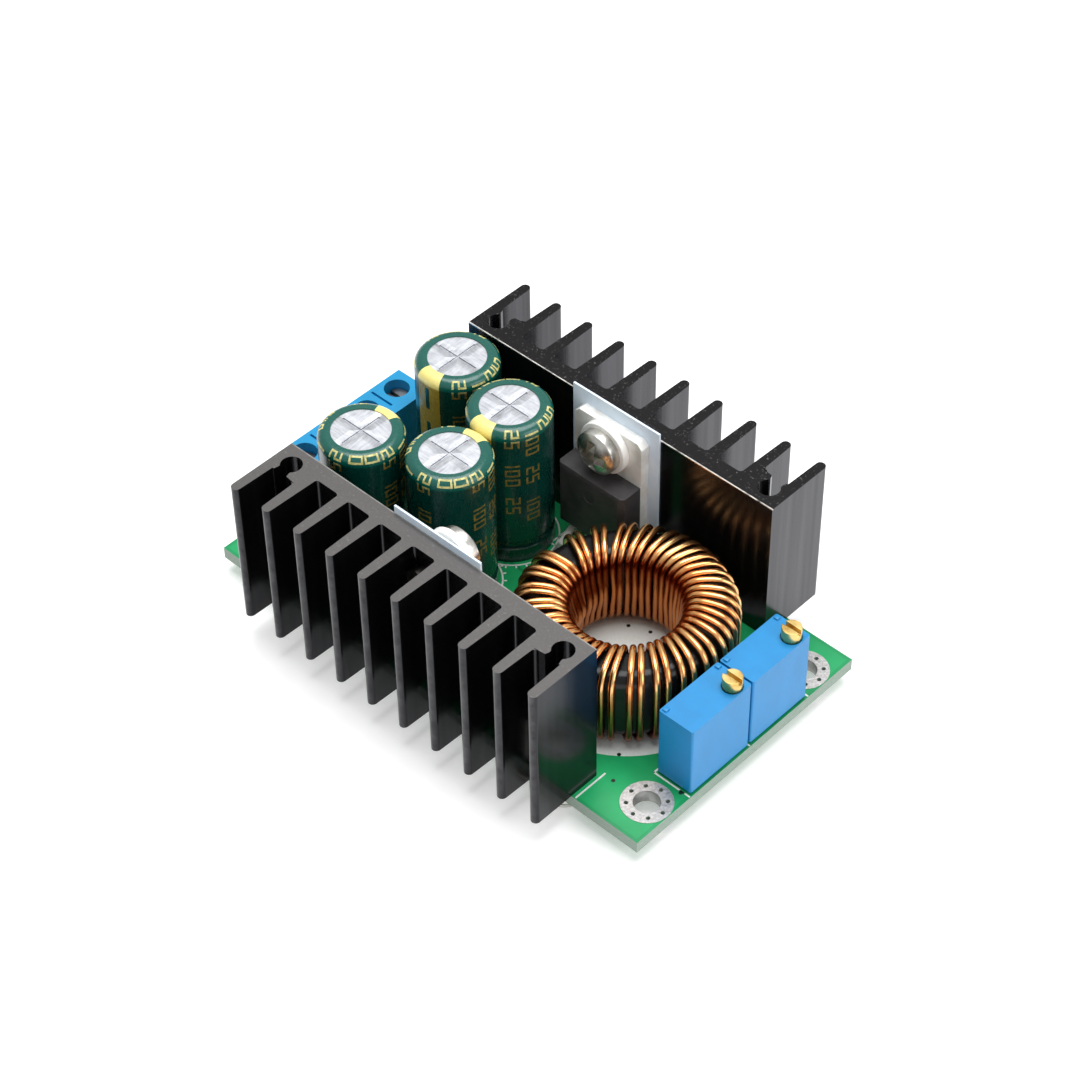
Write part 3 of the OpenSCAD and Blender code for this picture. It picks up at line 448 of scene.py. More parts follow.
# Bare lines between the copper areas in plan: two ends and a width, on the top and under the board
TOP_GAPS = (
    (-22.4, -15.6, -22.4, 15.6, 0.5), (-6.6, -15.6, -6.6, 3.0, 0.5), (-6.6, 3.0, 5.2, 3.0, 0.4),
    (5.2, 3.0, 5.2, 15.6, 0.4), (-22.4, 0.5, -6.6, 0.5, 0.5), (26.2, -6.5, 26.2, 13.6, 0.3),
)
UNDER_GAPS = (
    (-22.4, -15.6, -22.4, 15.6, 0.5), (-22.4, 0.9, -4.2, 0.9, 0.5), (-4.2, -15.6, -4.2, 6.4, 0.5),
    (-4.2, 6.4, 27.0, 6.4, 0.3), (3.6, -2.6, 27.0, -2.6, 0.3), (3.6, -15.6, 3.6, 3.4, 0.4),
    (8.6, 1.4, 24.0, 1.4, 0.3), (8.6, -6.4, 23.4, -6.4, 0.3), (27.0, -8.2, 27.0, 9.6, 0.3),
)


def gap_mask(x, y, gaps):
    """1 on the bare lines of a face, 0 on its copper areas."""
    total = 0.0
    for x0, y0, x1, y1, width in gaps:
        on_x = abs(x - (x0 + x1) / 2) < abs(x1 - x0) / 2 + width / 2
        on_y = abs(y - (y0 + y1) / 2) < abs(y1 - y0) / 2 + width / 2
        total = on_x * on_y + total
    return total


def mask_finish(colours):
    """Green solder mask over copper areas on a glass laminate, whose edge shows."""
    f = Finish("solder_mask")
    x, y, _ = f.axes()
    _, _, nz = f.facing()
    weave = f.noise(3.0, 2.0, vector=f.stretched(1, 1, 8))
    cloud = f.noise(0.12, 3.0)
    green = f.mix(cloud.fade(0.35, 0.65), tint(22, 146, 86), tuple(colours.board))
    edge = f.mix(weave.fade(0.3, 0.7), tint(130, 150, 136), tint(166, 180, 168))
    on_edge = abs(nz) < 0.5
    fine = f.noise(14.0, 3.0)
    on_rim = (abs(x - BOARD_MID.x) > BOARD_HALF.x - POUR_INSET).largest(
        abs(y - BOARD_MID.y) > BOARD_HALF.y - POUR_INSET
    )
    gaps = gap_mask(x, y, TOP_GAPS) * (nz > 0.5) + gap_mask(x, y, UNDER_GAPS) * (nz < -0.5)
    bare = gaps.smallest(1.0).largest(on_rim * 0.5)
    green = f.mix(bare * 0.55, green, tint(12, 104, 66))
    return f.set(
        Base_Color=f.mix(on_edge, green, edge),
        Roughness=0.28 + 0.3 * on_edge + 0.06 * fine,
        Normal=f.bump(fine * 0.1 + weave * 0.1 - bare, 0.02),
        Specular_IOR_Level=0.4,
    )


def ink_finish():
    """White printing ink, a little worn."""
    f = Finish("screen_ink")
    grain = f.noise(9.0, 4.0, 0.7)
    return f.set(
        Base_Color=f.mix(grain.fade(0.3, 0.75), tint(214, 220, 214), tint(243, 246, 243)),
        Roughness=0.55 + 0.15 * grain,
        Normal=f.bump(grain, 0.01),
    )


def metal_finish(name, first, second, rough, stretch=(1, 1, 1), metallic=1.0, painted_shade=None):
    """Bare metal with drifting colour, a fine grain and scratches; an optional mask paints shade on it."""
    f = Finish(name)
    drift = f.noise(0.5, 3.0)
    grain = f.noise(12.0, 3.0, 0.6, f.stretched(*stretch))
    base = f.mix(drift.fade(0.35, 0.65), first, second)
    # Painted shade: dark where the mask says.
    if painted_shade:
        base = f.mix(painted_shade(*f.axes()), base, tint(46, 44, 42))
    return f.set(
        Base_Color=base,
        Metallic=metallic,
        Roughness=rough + 0.18 * (grain - 0.5) + 0.1 * (drift - 0.5),
        Normal=f.bump(grain, 0.004),
    )


def pad_finish():
    """Hot-tinned copper: bright, with a cast, pitted skin."""
    f = Finish("tinned_pad")
    pits = f.spots(4.0)
    cast = f.noise(4.0, 4.0, 0.6)
    return f.set(
        Base_Color=f.mix(cast.fade(0.35, 0.65), tint(166, 165, 164), tint(198, 197, 196)),
        Metallic=0.9,
        Roughness=0.34 + 0.2 * cast,
        Normal=f.bump(pits * 0.4 + cast, 0.02),
    )


def anodised_finish(name, sawn, tip_y, side, bare, pale):
    """Black anodised extrusion: drawn lines up the fins, sawn ends, rubbed tips, and bright edges, partly
    bare metal and partly a painted highlight.

    side is the way along Y that the fins point, to their tips at tip_y; bare says how bright the edges are
    painted, as bare metal and a painted highlight in one, and pale how much paler than plain black the skin
    is painted, a painted reflection. Faces turned towards the parts get painted shade.
    """
    f = Finish(name)
    _, y, z = f.axes()
    _, ny, nz = f.facing()
    drawn = f.noise(7.0, 4.0, 0.6, f.stretched(1, 1, 0.02))
    broad = f.noise(1.1, 3.0, 0.5, f.stretched(1, 1, 0.03))
    wear = f.noise(0.7, 5.0, 0.62)
    saw = f.noise(12.0, 4.0, 0.65, f.stretched(1.0, 0.3, 1.0))
    specks = f.noise(3.5, 3.0, 0.7).fade(0.62, 0.7)
    on_cut = abs(nz) > 0.7
    on_tip = (side * y).fade(side * tip_y - 0.4, side * tip_y - 0.03) * wear.fade(0.35, 0.7)
    top_edge = (z > SINK_TOP - EDGE_WEAR_AND_SHINE) * (1 - on_cut) * (abs(y) < SINK_FACE + EDGE_WEAR_AND_SHINE)
    face_edge = (abs(abs(y) - SINK_FACE) < EDGE_WEAR_AND_SHINE) * on_cut
    # Bright edges: partly rubbed bare metal, partly a painted highlight along the top and face edges.
    worn = (top_edge + face_edge) * wear.fade(0.3, 0.55) * bare
    # Painted reflection: pale makes the black skin paler.
    dark, light = [tint(*shade(base, pale)) for base in ((41, 41, 43), (53, 53, 56))]
    skin = f.mix(broad.fade(0.3, 0.7), dark, light)
    # Painted shade: the faces turned away from the fins, towards the parts, are painted darker.
    skin = f.mix(((-side * ny) > 0.7) * 0.6, skin, tint(26, 26, 28))
    skin = f.mix(on_tip * 0.45, skin, tint(98, 98, 99))
    cut = f.mix(saw.fade(0.3, 0.7), shade(sawn, 0.76), sawn)
    cut = f.mix(specks * 0.35, cut, tint(170, 168, 164))
    return f.set(
        Base_Color=f.mix(worn, f.mix(on_cut, skin, cut), tint(225, 222, 216)),
        Metallic=0.9 - 0.2 * on_cut,
        Roughness=0.16 + 0.05 * broad + 0.32 * on_cut,
        Normal=f.bump(drawn * (1 - on_cut) + saw * on_cut * 3, 0.0025),
    )


def sheet_finish(colours):
    """Pale insulating sheet with a fine weave, a little creased."""
    f = Finish("silicone_sheet")
    weft, warp = [
        f.node(
            "ShaderNodeTexWave", {"wave_type": "BANDS", "bands_direction": way},
            {"Vector": f.place, "Scale": 2.2, "Distortion": 0.0},
        )
        for way in "XZ"
    ]
    cloud = f.noise(0.35, 3.0)
    crease = f.noise(0.22, 2.0, 0.4, f.stretched(1, 1, 0.5))
    return f.set(
        Base_Color=f.mix(cloud.fade(0.3, 0.7), tuple(colours.sheet), tint(234, 246, 255)),
        Roughness=0.5 + 0.1 * cloud,
        Normal=f.bump(weft * 0.01 + warp * 0.01 + crease, 0.4),
    )


def mould_finish(name, dark, light, grain=9.0, rough=0.5, shine=0.5):
    """Moulded compound or plastic with a fine sparked grain."""
    f = Finish(name)
    spark = f.noise(grain, 4.0, 0.7)
    cloud = f.noise(0.5, 3.0)
    return f.set(
        Base_Color=f.mix(cloud.fade(0.3, 0.7), dark, light),
        Roughness=rough + 0.15 * (spark - 0.5) + 0.08 * (cloud - 0.5),
        Specular_IOR_Level=shine,
        Normal=f.bump(spark, 0.012),
    )


def sleeve_finish(index, colours):
    """Printed shrink sleeve: dark teal with painted shade down its sides and painted light over the
    shoulder, with a gold stripe of minus signs, painted paler over the shoulder.
    """
    f = Finish(f"printed_sleeve_{index}")
    centre = CAPS[index - 1]
    x, y, z = f.axes()
    across, along = x - centre.x, (y - centre.y) * STRIPE_SIDE[index - 1]
    arc = across.math("ARCTAN2", across, along) * CAP_R
    height = z - CAP_LOW.z
    shoulder = height.fade(SHOULDER_Z - 0.12, SHOULDER_Z + 0.12)
    repeat = height.math("FRACT", (STRIPE_TOP - height) / MINUS_STEP)
    minus = (abs(arc) < 0.3) * (repeat < 0.6) * (height < STRIPE_TOP)
    stripe = (abs(arc) < STRIPE_W / 2) * (1 - minus)
    cloud = f.noise(0.4, 3.0)
    shrink = f.noise(2.2, 3.0, 0.5, f.stretched(1, 1, 0.3))
    # Painted shade: the upright sides are painted darker than the sleeve's colour.
    base = f.mix(cloud.fade(0.3, 0.7), shade(colours.sleeve, 0.6), shade(colours.sleeve, 0.42))
    # Painted light: the shoulder is painted lighter.
    base = f.mix(shoulder, base, shade(colours.sleeve, 1.15))
    gold = f.mix(cloud.fade(0.3, 0.7), tint(168, 146, 52), tint(146, 126, 44))
    # Painted highlight: the gold stripe is painted paler over the shoulder.
    gold = f.mix(shoulder, gold, tint(240, 226, 138))
    return f.set(
        Base_Color=f.mix(stripe, base, gold),
        Roughness=0.22 + 0.12 * shrink,
        Normal=f.bump(shrink, 0.03),
        Coat_Weight=0.25,
        Coat_Roughness=0.1,
    )


def gold_finish():
    """Gold ink, paler where it catches the light on the shoulder."""
    f = Finish("gold_print")
    _, _, z = f.axes()
    worn = f.noise(2.5, 4.0, 0.7)
    shoulder = (z - CAP_LOW.z).fade(SHOULDER_Z - 0.3, SHOULDER_Z + 0.2)
    base = f.mix(worn.fade(0.35, 0.65), tint(140, 116, 46), tint(82, 76, 36))
    bright = f.mix(worn.fade(0.4, 0.6), tint(222, 212, 144), tint(168, 164, 98))
    return f.set(
        Base_Color=f.mix(shoulder, base, bright),
        Roughness=0.4 + 0.2 * worn,
        Normal=f.bump(worn, 0.01),
    )


def can_finish():
    """Bright drawn can, whose top is pressed into brushed sectors that slope down to a scored cross, with
    painted shade along the cross.
    """
    f = Finish("can_aluminium")
    x, y, _ = f.axes()
    cloud = f.noise(0.9, 3.0, 0.5)
    along = f.noise(5.0, 3.0, 0.6, f.stretched(1.0, 0.15, 1.0))
    across = f.noise(5.0, 3.0, 0.6, f.stretched(0.15, 1.0, 1.0))
    sector, slope = 0.0, 0.0
    for centre in CAPS:
        dx, dy = x - centre.x, y - centre.y
        near = (abs(dx) < CAP_R) * (abs(dy) < CAP_R)
        sector = near * (dx * dy > 0.0) + sector
        slope = near * abs(dx).smallest(abs(dy)).fade(0.0, 0.9) + slope
    brushed = along * (1 - sector) + across * sector
    # Painted shade: slope darkens the colour towards the scored cross.
    tone = (0.4 * cloud + 0.5 * brushed + 0.12 * slope).fade(0.34, 0.66)
    return f.set(
        Base_Color=f.mix(tone, tint(158, 160, 166), tint(212, 215, 220)),
        Metallic=0.75,
        Roughness=0.38 + 0.12 * brushed,
        Normal=f.bump(brushed * 0.1 + slope, 0.1),
    )


def copper_finish():
    """Enamelled copper wire: bright on top, with painted shade that makes it red-brown on its flanks and
    over the rim, and dark in the bore and at the foot.
    """
    f = Finish("enamelled_copper")
    drift = f.noise(0.25, 3.0)
    streak = f.noise(1.4, 2.0, 0.5)
    x, y, z = f.axes()
    _, _, nz = f.facing()
    top, bottom, core_in = CORE_HIGH.z, CORE_LOW.z, CORE_R - CORE_BAND
    reach = ((x - COIL.x) * (x - COIL.x) + (y - COIL.y) * (y - COIL.y)) ** 0.5
    inside = 1 - reach.fade(core_in - 0.6, core_in + 1.2)
    # Painted shade: these masks darken the wire in the bore, at the foot, on the flanks and over the rim.
    bore = inside * (1 - z.fade(top - 1.2, top + 0.8))
    foot = (1 - inside) * (1 - z.fade(bottom + 1.5, bottom + 8.5))
    flank_shade = z.fade(top - 0.9, top + 0.3) * (1 - nz.fade(0.0, 0.6))
    rim = inside * z.fade(top - 2.4, top - 0.6) * (1 - nz.fade(0.45, 0.85))
    bright = f.mix(drift.fade(0.3, 0.7), tint(255, 170, 100), tint(255, 205, 140))
    # Painted shade at the foot and in the bore.
    bright = f.mix(foot * 0.9, bright, tint(108, 42, 24))
    bright = f.mix(bore * 0.9, bright, tint(158, 88, 42))
    # Painted shade on the flanks and over the rim.
    return f.set(
        Base_Color=f.mix(flank_shade.largest(rim) * 0.8, bright, tint(142, 56, 24)),
        Metallic=1.0,
        Roughness=0.22 + 0.06 * streak,
        Normal=f.bump(streak, 0.004),
    )


def blue_finish(name, first, second, rough):
    """Moulded blue case with flow marks and a satin skin."""
    f = Finish(name)
    flow = f.noise(0.35, 4.0, 0.55, f.stretched(1, 1, 0.5))
    spark = f.noise(11.0, 3.0, 0.6)
    return f.set(
        Base_Color=f.mix(flow.fade(0.3, 0.7), first, second),
        Roughness=rough + 0.12 * (spark - 0.5),
        Normal=f.bump(spark, 0.008),
    )


# Settings that a user would change

def colour(name, description, default):
    """A colour that the panel shows."""
    return bpy.props.FloatVectorProperty(
        name=name, description=description, default=default, size=3, subtype="COLOR", min=0.0, max=1.0,
    )


class ConverterColours(bpy.types.PropertyGroup):
    """Main colours of the module."""

    board: colour("Solder mask", "Green of the solder mask", tint(34, 172, 104))
    sleeve: colour("Capacitor sleeve", "Dark colour of the shrink sleeves", tint(2, 80, 70))
    sheet: colour("Insulating sheet", "Pale colour of the insulating sheets", tint(218, 236, 255))
    trimmer: colour("Trimmer case", "Blue of the trimmer cases", tint(18, 138, 204))
    terminal: colour("Terminal housing", "Blue of the terminal housings", tint(8, 152, 208))


class ConverterSizes(bpy.types.PropertyGroup):
    """Sizes of what the looks add to the frame."""

    ink: bpy.props.FloatProperty(
        name="Ink", description="Thickness of the printed ink on the board", default=0.02 * MM, min=0.0,
        unit="LENGTH",
    )
    wire: bpy.props.FloatProperty(
        name="Wire", description="Diameter of the enamelled wire", default=0.76 * MM, min=0.0, unit="LENGTH",
    )


# Operators

INK_W = 0.2  # width of a printed line
DISC_R = 13.3  # printed disc under the inductor
CAP_OUTLINE_R = 5.6  # printed ring round a capacitor
TICKS = 13  # strokes across that ring on the capacitor's minus side
TICK_TURN = 12  # degrees from one stroke to the next
SINK_MARK = (13.2, 17.8)  # ends along Y of the printed lines beside the heatsinks
LAND_W = 0.45
LAND_T = 0.035
CHIP_LAND_T = 0.6 * LAND_T
CHIPS = ("chip_resistors", "chip_capacitors", "indicator_leds", "sense_resistor")
HOLE_R = 1.55
PLATING = (0.04, 0.001)  # depth of the plating's inner and outer side under the hole's wall
VIA_R = 0.24
VIA_COLLAR_R = 0.42
VIAS = (
    (22.79, -10.16), (24.82, -13.33), (31.3, -9.68), (10.62, 4.82), (13.11, 5.77), (-27.0, 11.6),
    (-14.2, -11.8), (26.4, 12.9), (24.4, 15.6), (-24.6, -15.9), (-26.5, 15.8), (3.4, -6.9), (-3.9, -9.6),
)


class BoardOperator(bpy.types.Operator):
    """Builds the solder mask, the tinned rings and lands, the vias and the printed ink of the board"""

    bl_idname = "converter.board"
    bl_label = "Circuit board"

    def execute(self, context):
        mask = mask_finish(context.scene.converter_colours)
        dress(mask, "circuit_board")
        tin = pad_finish()
        dress(tin, "hole_pads")
        ink = context.scene.converter_sizes.ink / MM
        white = ink_finish()
        top_print(ink).piece("board_print", white, slot="solder_mask")
        under_print(ink).piece("underside_print", white, slot="solder_mask")
        lead_lands().piece("lead_lands", tin, slot="tinned_pad")
        chip_lands().piece("chip_lands", tin, slot="tinned_pad")
        plating = Shape()
        for first, last in solids("hole_pads"):
            if first.z > 0:
                middle = (first + last) / 2
                plating.ring(middle.xy, HOLE_R - PLATING[0], HOLE_R - PLATING[1], 0.0, BOARD_T)
        barrel = metal_finish("plated_barrel", tint(112, 112, 110), tint(164, 164, 161), 0.3)
        plating.piece("hole_plating", barrel, slot="tinned_pad", smooth=30.0)
        tented, wells = Shape(), Shape()
        for x, y in VIAS:
            on_disc = math.hypot(x - COIL.x, y - COIL.y) < DISC_R
            for level, way in ((BOARD_T, 1), (0.0, -1)):
                if not (on_disc and way > 0):
                    tented.ring((x, y), VIA_R, VIA_COLLAR_R, *sorted((level, level + way * ink)), n=24)
                wells.disc((x, y), VIA_R, *sorted((level, level + way * ink * 1.2)))
        tented.piece("via_collars", mask, slot="solder_mask")
        shadow = mould_finish("via_shadow", tint(10, 20, 16), tint(26, 40, 34), 9.0, 0.4)
        wells.piece("via_wells", shadow, slot="solder_mask")
        return {"FINISHED"}


def top_print(ink):
    """White ink on the component side: the disc under the inductor and the outlines of the parts."""
    shape, low, high = Shape(), BOARD_T, BOARD_T + ink

    def draw(*path):
        """Prints one line."""
        shape.line(path, INK_W, low, high)

    shape.ring(COIL.xy, 0.6, DISC_R, low, high, n=96)
    inside, outside = CAP_OUTLINE_R - 0.05, CAP_OUTLINE_R + 0.3
    for centre, side in zip(CAPS, STRIPE_SIDE):
        shape.ring(centre.xy, CAP_OUTLINE_R - INK_W, CAP_OUTLINE_R, low, high)
        for step in range(TICKS):
            a = math.radians(side * (90 + TICK_TURN * (step - TICKS // 2)))
            draw(*[around(centre, r, a) for r in (inside, outside)])
    sink_end = SINK_NEAR[1].x + 0.5
    for side in (-1, 1):
        for x in (sink_end, -sink_end):
            draw(*[(x, side * y) for y in SINK_MARK])
    trim_low, trim_high = TRIMMER_BOXES[0][0], TRIMMER_BOXES[1][1]
    left, right, first, last = trim_low.x - 0.2, BOARD_HIGH.x - 0.15, trim_low.y - 0.25, trim_high.y + 0.25
    for y in (first, (TRIMMER_BOXES[0][1].y + TRIMMER_BOXES[1][0].y) / 2, last):
        draw((left, y), (right, y))
    draw((left, first), (left, last))
    for node, side in (("regulator_body", 1), ("diode_body", -1)):
        first, last = box_mm(node)
        front = (first.y if side > 0 else last.y) - side * 0.7
        back = side * (SINK_FACE - 0.3)
        left, right = first.x - 0.35, last.x + 0.35
        draw((left, back), (left, front), (right, front), (right, back))
    block_low, block_high = TERMINAL_BOXES[0][0], TERMINAL_BOXES[1][1]
    edge, back, first, last = BOARD_LOW.x + 0.2, block_high.x + 0.3, block_low.y - 0.3, block_high.y + 0.3
    draw((edge, first), (back, first), (back, last), (edge, last))
    for way in (1, 2, 3, 4):
        y = middle_mm(f"clamp_screw_{way}").y
        draw((back + 0.6, y), (back + 1.5, y))
        if way % 2:
            draw((back + 1.05, y - 0.45), (back + 1.05, y + 0.45))
    return shape


def under_print(ink):
    """White ink on the underside: outlines of the control parts and a pin mark."""
    shape, low, high = Shape(), -ink, 0.0
    for node in CHIPS:
        for first, last in solids(node):
            framed(shape, (first.x - 0.7, first.y - 0.3), (last.x + 0.7, last.y + 0.3), low, high)
    first, last = box_mm("amplifier_body")
    framed(shape, (first.x + 0.2, first.y + 0.2), (last.x - 0.2, last.y - 0.2), low, high)
    shape.ring((first.x - 0.4, first.y - 1.2), 0.05, 0.3, low, high, n=20)
    for first, last in solids("heatsink_screws"):
        shape.ring(((first + last) / 2).xy, 2.6, 2.6 + INK_W, low, high)
    return shape


def framed(shape, first, last, low, high):
    """Outline of a plan rectangle in ink."""
    shape.line([*rectangle(first, last), first], INK_W, low, high)


def lead_lands():
    """Tinned land round every lead, on both faces."""
    shape = Shape()
    for first, last in solids("solder_joints"):
        middle, collar = ((first + last) / 2).xy, (last.x - first.x) / 2
        shape.ring(middle, collar - LAND_W, collar + 0.12, BOARD_T, BOARD_T + LAND_T, n=32)
        shape.ring(middle, collar - 0.02, collar + 0.25, -LAND_T, 0.0, n=32)
    return shape


def chip_lands():
    """Tinned lands at both ends of the chips under the board, and under the amplifier's leads."""
    shape = Shape()
    for node in CHIPS:
        for first, last in solids(node):
            for x in (first.x, last.x):
                land = rectangle((x - 0.45, first.y - 0.05), (x + 0.45, last.y + 0.05))
                shape.prism(land, -CHIP_LAND_T, 0.0)
    for first, last in solids("amplifier_leads"):
        land = rectangle((first.x - 0.1, first.y - 0.25), (last.x + 0.1, last.y + 0.25))
        shape.prism(land, -CHIP_LAND_T, 0.0)
    return shape


class SolderOperator(bpy.types.Operator):
    """Gives the solder under the board its bright skin"""

    bl_idname = "converter.solder"
    bl_label = "Solder joints"

    def execute(self, context):
        dress(metal_finish("solder", tint(168, 170, 172), tint(214, 216, 218), 0.24), "solder_joints")
        return {"FINISHED"}


class HeatsinkOperator(bpy.types.Operator):
    """Gives the two finned heatsinks their anodised skin and sawn ends"""

    bl_idname = "converter.heatsinks"
    bl_label = "Heatsinks"

    def execute(self, context):
        # The far heatsink gets a paler skin and brighter edges than the near one: a painted reflection, and
        # a painted highlight that is partly bare metal.
        near = anodised_finish("black_anodised_near", tint(102, 100, 99), SINK_NEAR[0].y, -1, 0.25, 1.0)
        far = anodised_finish("black_anodised_far", tint(21, 19, 21), SINK_FAR[1].y, 1, 0.9, 1.42)
        dress(near, "heatsink_near")
        dress(far, "heatsink_far")
        # Painted shade on the screw ends that stand between the fins.
        zinc = metal_finish(
            "zinc_steel", tint(190, 188, 182), tint(226, 224, 218), 0.3,
            painted_shade=lambda x, y, z: (abs(y) > SINK_FACE + 1.0) * (z > SHADE_FROM),
        )
        for node, name in (("heatsink_screws", "heatsink_fixings"), ("device_screws", "device_fixings")):
            softened(node, name, zinc, 0.07, 40.0)
        return {"FINISHED"}


class PackageOperator(bpy.types.Operator):
    """Builds the two power packages with their sheets and bushes"""

    bl_idname = "converter.packages"
    bl_label = "Power packages"

    def execute(self, context):
        colours = context.scene.converter_colours
        dress(sheet_finish(colours), "insulator_near", "insulator_far")
        mould = mould_finish("epoxy_mould", tint(44, 43, 44), tint(66, 64, 65))
        for device in ("regulator", "diode"):
            softened(f"{device}_body", f"{device}_moulding", mould, 0.1)
        dress(mould, "amplifier_body", "voltage_reference")
        tab = metal_finish(
            "tinned_tab", tint(228, 226, 220), tint(250, 250, 246), 0.4, stretch=(0.3, 1, 1), metallic=0.25
        )
        for device in ("regulator", "diode"):
            softened(f"{device}_tab", f"{device}_plate", tab, 0.1)
        dress(
            tab, "regulator_leads", "diode_leads", "amplifier_leads",
            "trimmer_1_pins", "trimmer_2_pins", "terminal_contacts",
            *[f"capacitor_{i}_leads" for i in (1, 2, 3, 4)],
        )
        nylon = mould_finish("nylon_bush", tint(232, 232, 228), tint(246, 246, 243), 6.0, 0.4)
        softened("shoulder_bushes", "insulating_bushes", nylon, 0.12, 40.0)
        return {"FINISHED"}


# Strokes of a digit, from one corner to the other of a box one wide and one high
SEGMENTS = {
    "a": ((0, 1), (1, 1)), "b": ((1, 0.5), (1, 1)), "c": ((1, 0), (1, 0.5)), "d": ((0, 0), (1, 0)),
    "e": ((0, 0), (0, 0.5)), "f": ((0, 0.5), (0, 1)), "g": ((0, 0.5), (1, 0.5)),
}
DIGITS = {"0": "abcdef", "1": "bc", "2": "abged", "5": "afgcd"}
DIGIT_W = 0.8
DIGIT_H = 1.5
DIGIT_STEP = 1.45
STROKE_W = 0.24
PRINT_T = 0.015
PRINT_TOP = 20.35  # where the columns start, measured up the sleeve and on over its shoulder
PRINT_STEP = 0.4  # largest facet of a stroke
SHOULDER_R = 1.1
# Columns of digits: degrees round the sleeve from its stripe, and what they say
COLUMNS = (
    (38, "25 100 25"), (66, "100 25 100"), (90, "2"), (112, "5"), (150, "1"), (180, "25 100 25"),
    (-150, "0"), (-128, "0"), (-104, "25 100 25"), (-76, "100 25 100"), (-50, "1"),
)


def sleeve_place(centre, turn, across, up, lift):
    """Point over a sleeve, a way round it from a turn and a way up its side and on over the shoulder."""
    straight = CAP_HIGH.z - CAP_LOW.z - SHOULDER_R
    t = max(0.0, up - straight) / SHOULDER_R
    reach = CAP_R - SHOULDER_R + (SHOULDER_R + lift) * math.cos(t)
    height = CAP_LOW.z + min(up, straight) + (SHOULDER_R + lift) * math.sin(t)
    return *around(centre, reach, turn + across / CAP_R), height


def sleeve_print(index):
    """Columns of plain numbers that read down a sleeve."""
    shape, centre, half = Shape(), CAPS[index - 1], STROKE_W / 2
    for offset, digits in COLUMNS:
        turn = math.radians(90 * STRIPE_SIDE[index - 1] + offset)

        def place(across, up, lift):
            """Point of this column."""
            return sleeve_place(centre, turn, across, up, lift)

        for step, digit in enumerate(digits):
            top = PRINT_TOP - step * DIGIT_STEP
            for (x0, y0), (x1, y1) in [SEGMENTS[name] for name in DIGITS.get(digit, "")]:
                first = (y0 * DIGIT_H - half, top - x1 * DIGIT_W - half)
                last = (y1 * DIGIT_H + half, top - x0 * DIGIT_W + half)
                shape.slab(place, first, last, 0.0, PRINT_T, PRINT_STEP)
    return shape


class CapacitorOperator(bpy.types.Operator):
    """Gives the four capacitors their sleeves, cans and bungs"""

    bl_idname = "converter.capacitors"
    bl_label = "Capacitors"

    def execute(self, context):
        can = can_finish()
        gold = gold_finish()
        rubber = mould_finish("bung_rubber", tint(22, 22, 22), tint(36, 36, 36), 7.0, 0.7)
        for i in (1, 2, 3, 4):
            dress(sleeve_finish(i, context.scene.converter_colours), f"capacitor_{i}_sleeve")
            dress(can, f"capacitor_{i}_can")
            dress(rubber, f"capacitor_{i}_bung")
            sleeve_print(i).piece(f"capacitor_{i}_print", gold, slot="printed_sleeve")
        return {"FINISHED"}


# Winding: lengths in millimetres, angles in degrees round the core
TURNS = 24
END_ANGLE = 14.0  # bare part between the first turn and the last
WIRE_GAP = 0.12  # from the core to the wires
PAIR_GAP = 0.3  # between the wires of a close pair
END_GAP = 0.04  # between them where they end in the board
BEND_R = 1.9
BEND_STEPS = 6
CROSSING_STEPS = 6
EXIT_BEND = 0.5
BOW = 0.3  # rise of the wires over the top
WANDER = 0.5  # uneven lay of the turns
SPREAD_AT = 50  # side on which the pairs are spread out
CLOSING = 19  # turn from which the last ones are pushed on along the core
CLOSING_SHIFT = 4.5  # how far the last of them is pushed
SLACK = 0.3  # of every wire in the bore
LOOSE_SLACK = 0.7  # what the loosest wires have besides
LOOSE_AT = 215  # side on which those are
LEAN = 0.16  # largest bow of a wire in the bore to either side
POST_STEPS = 7


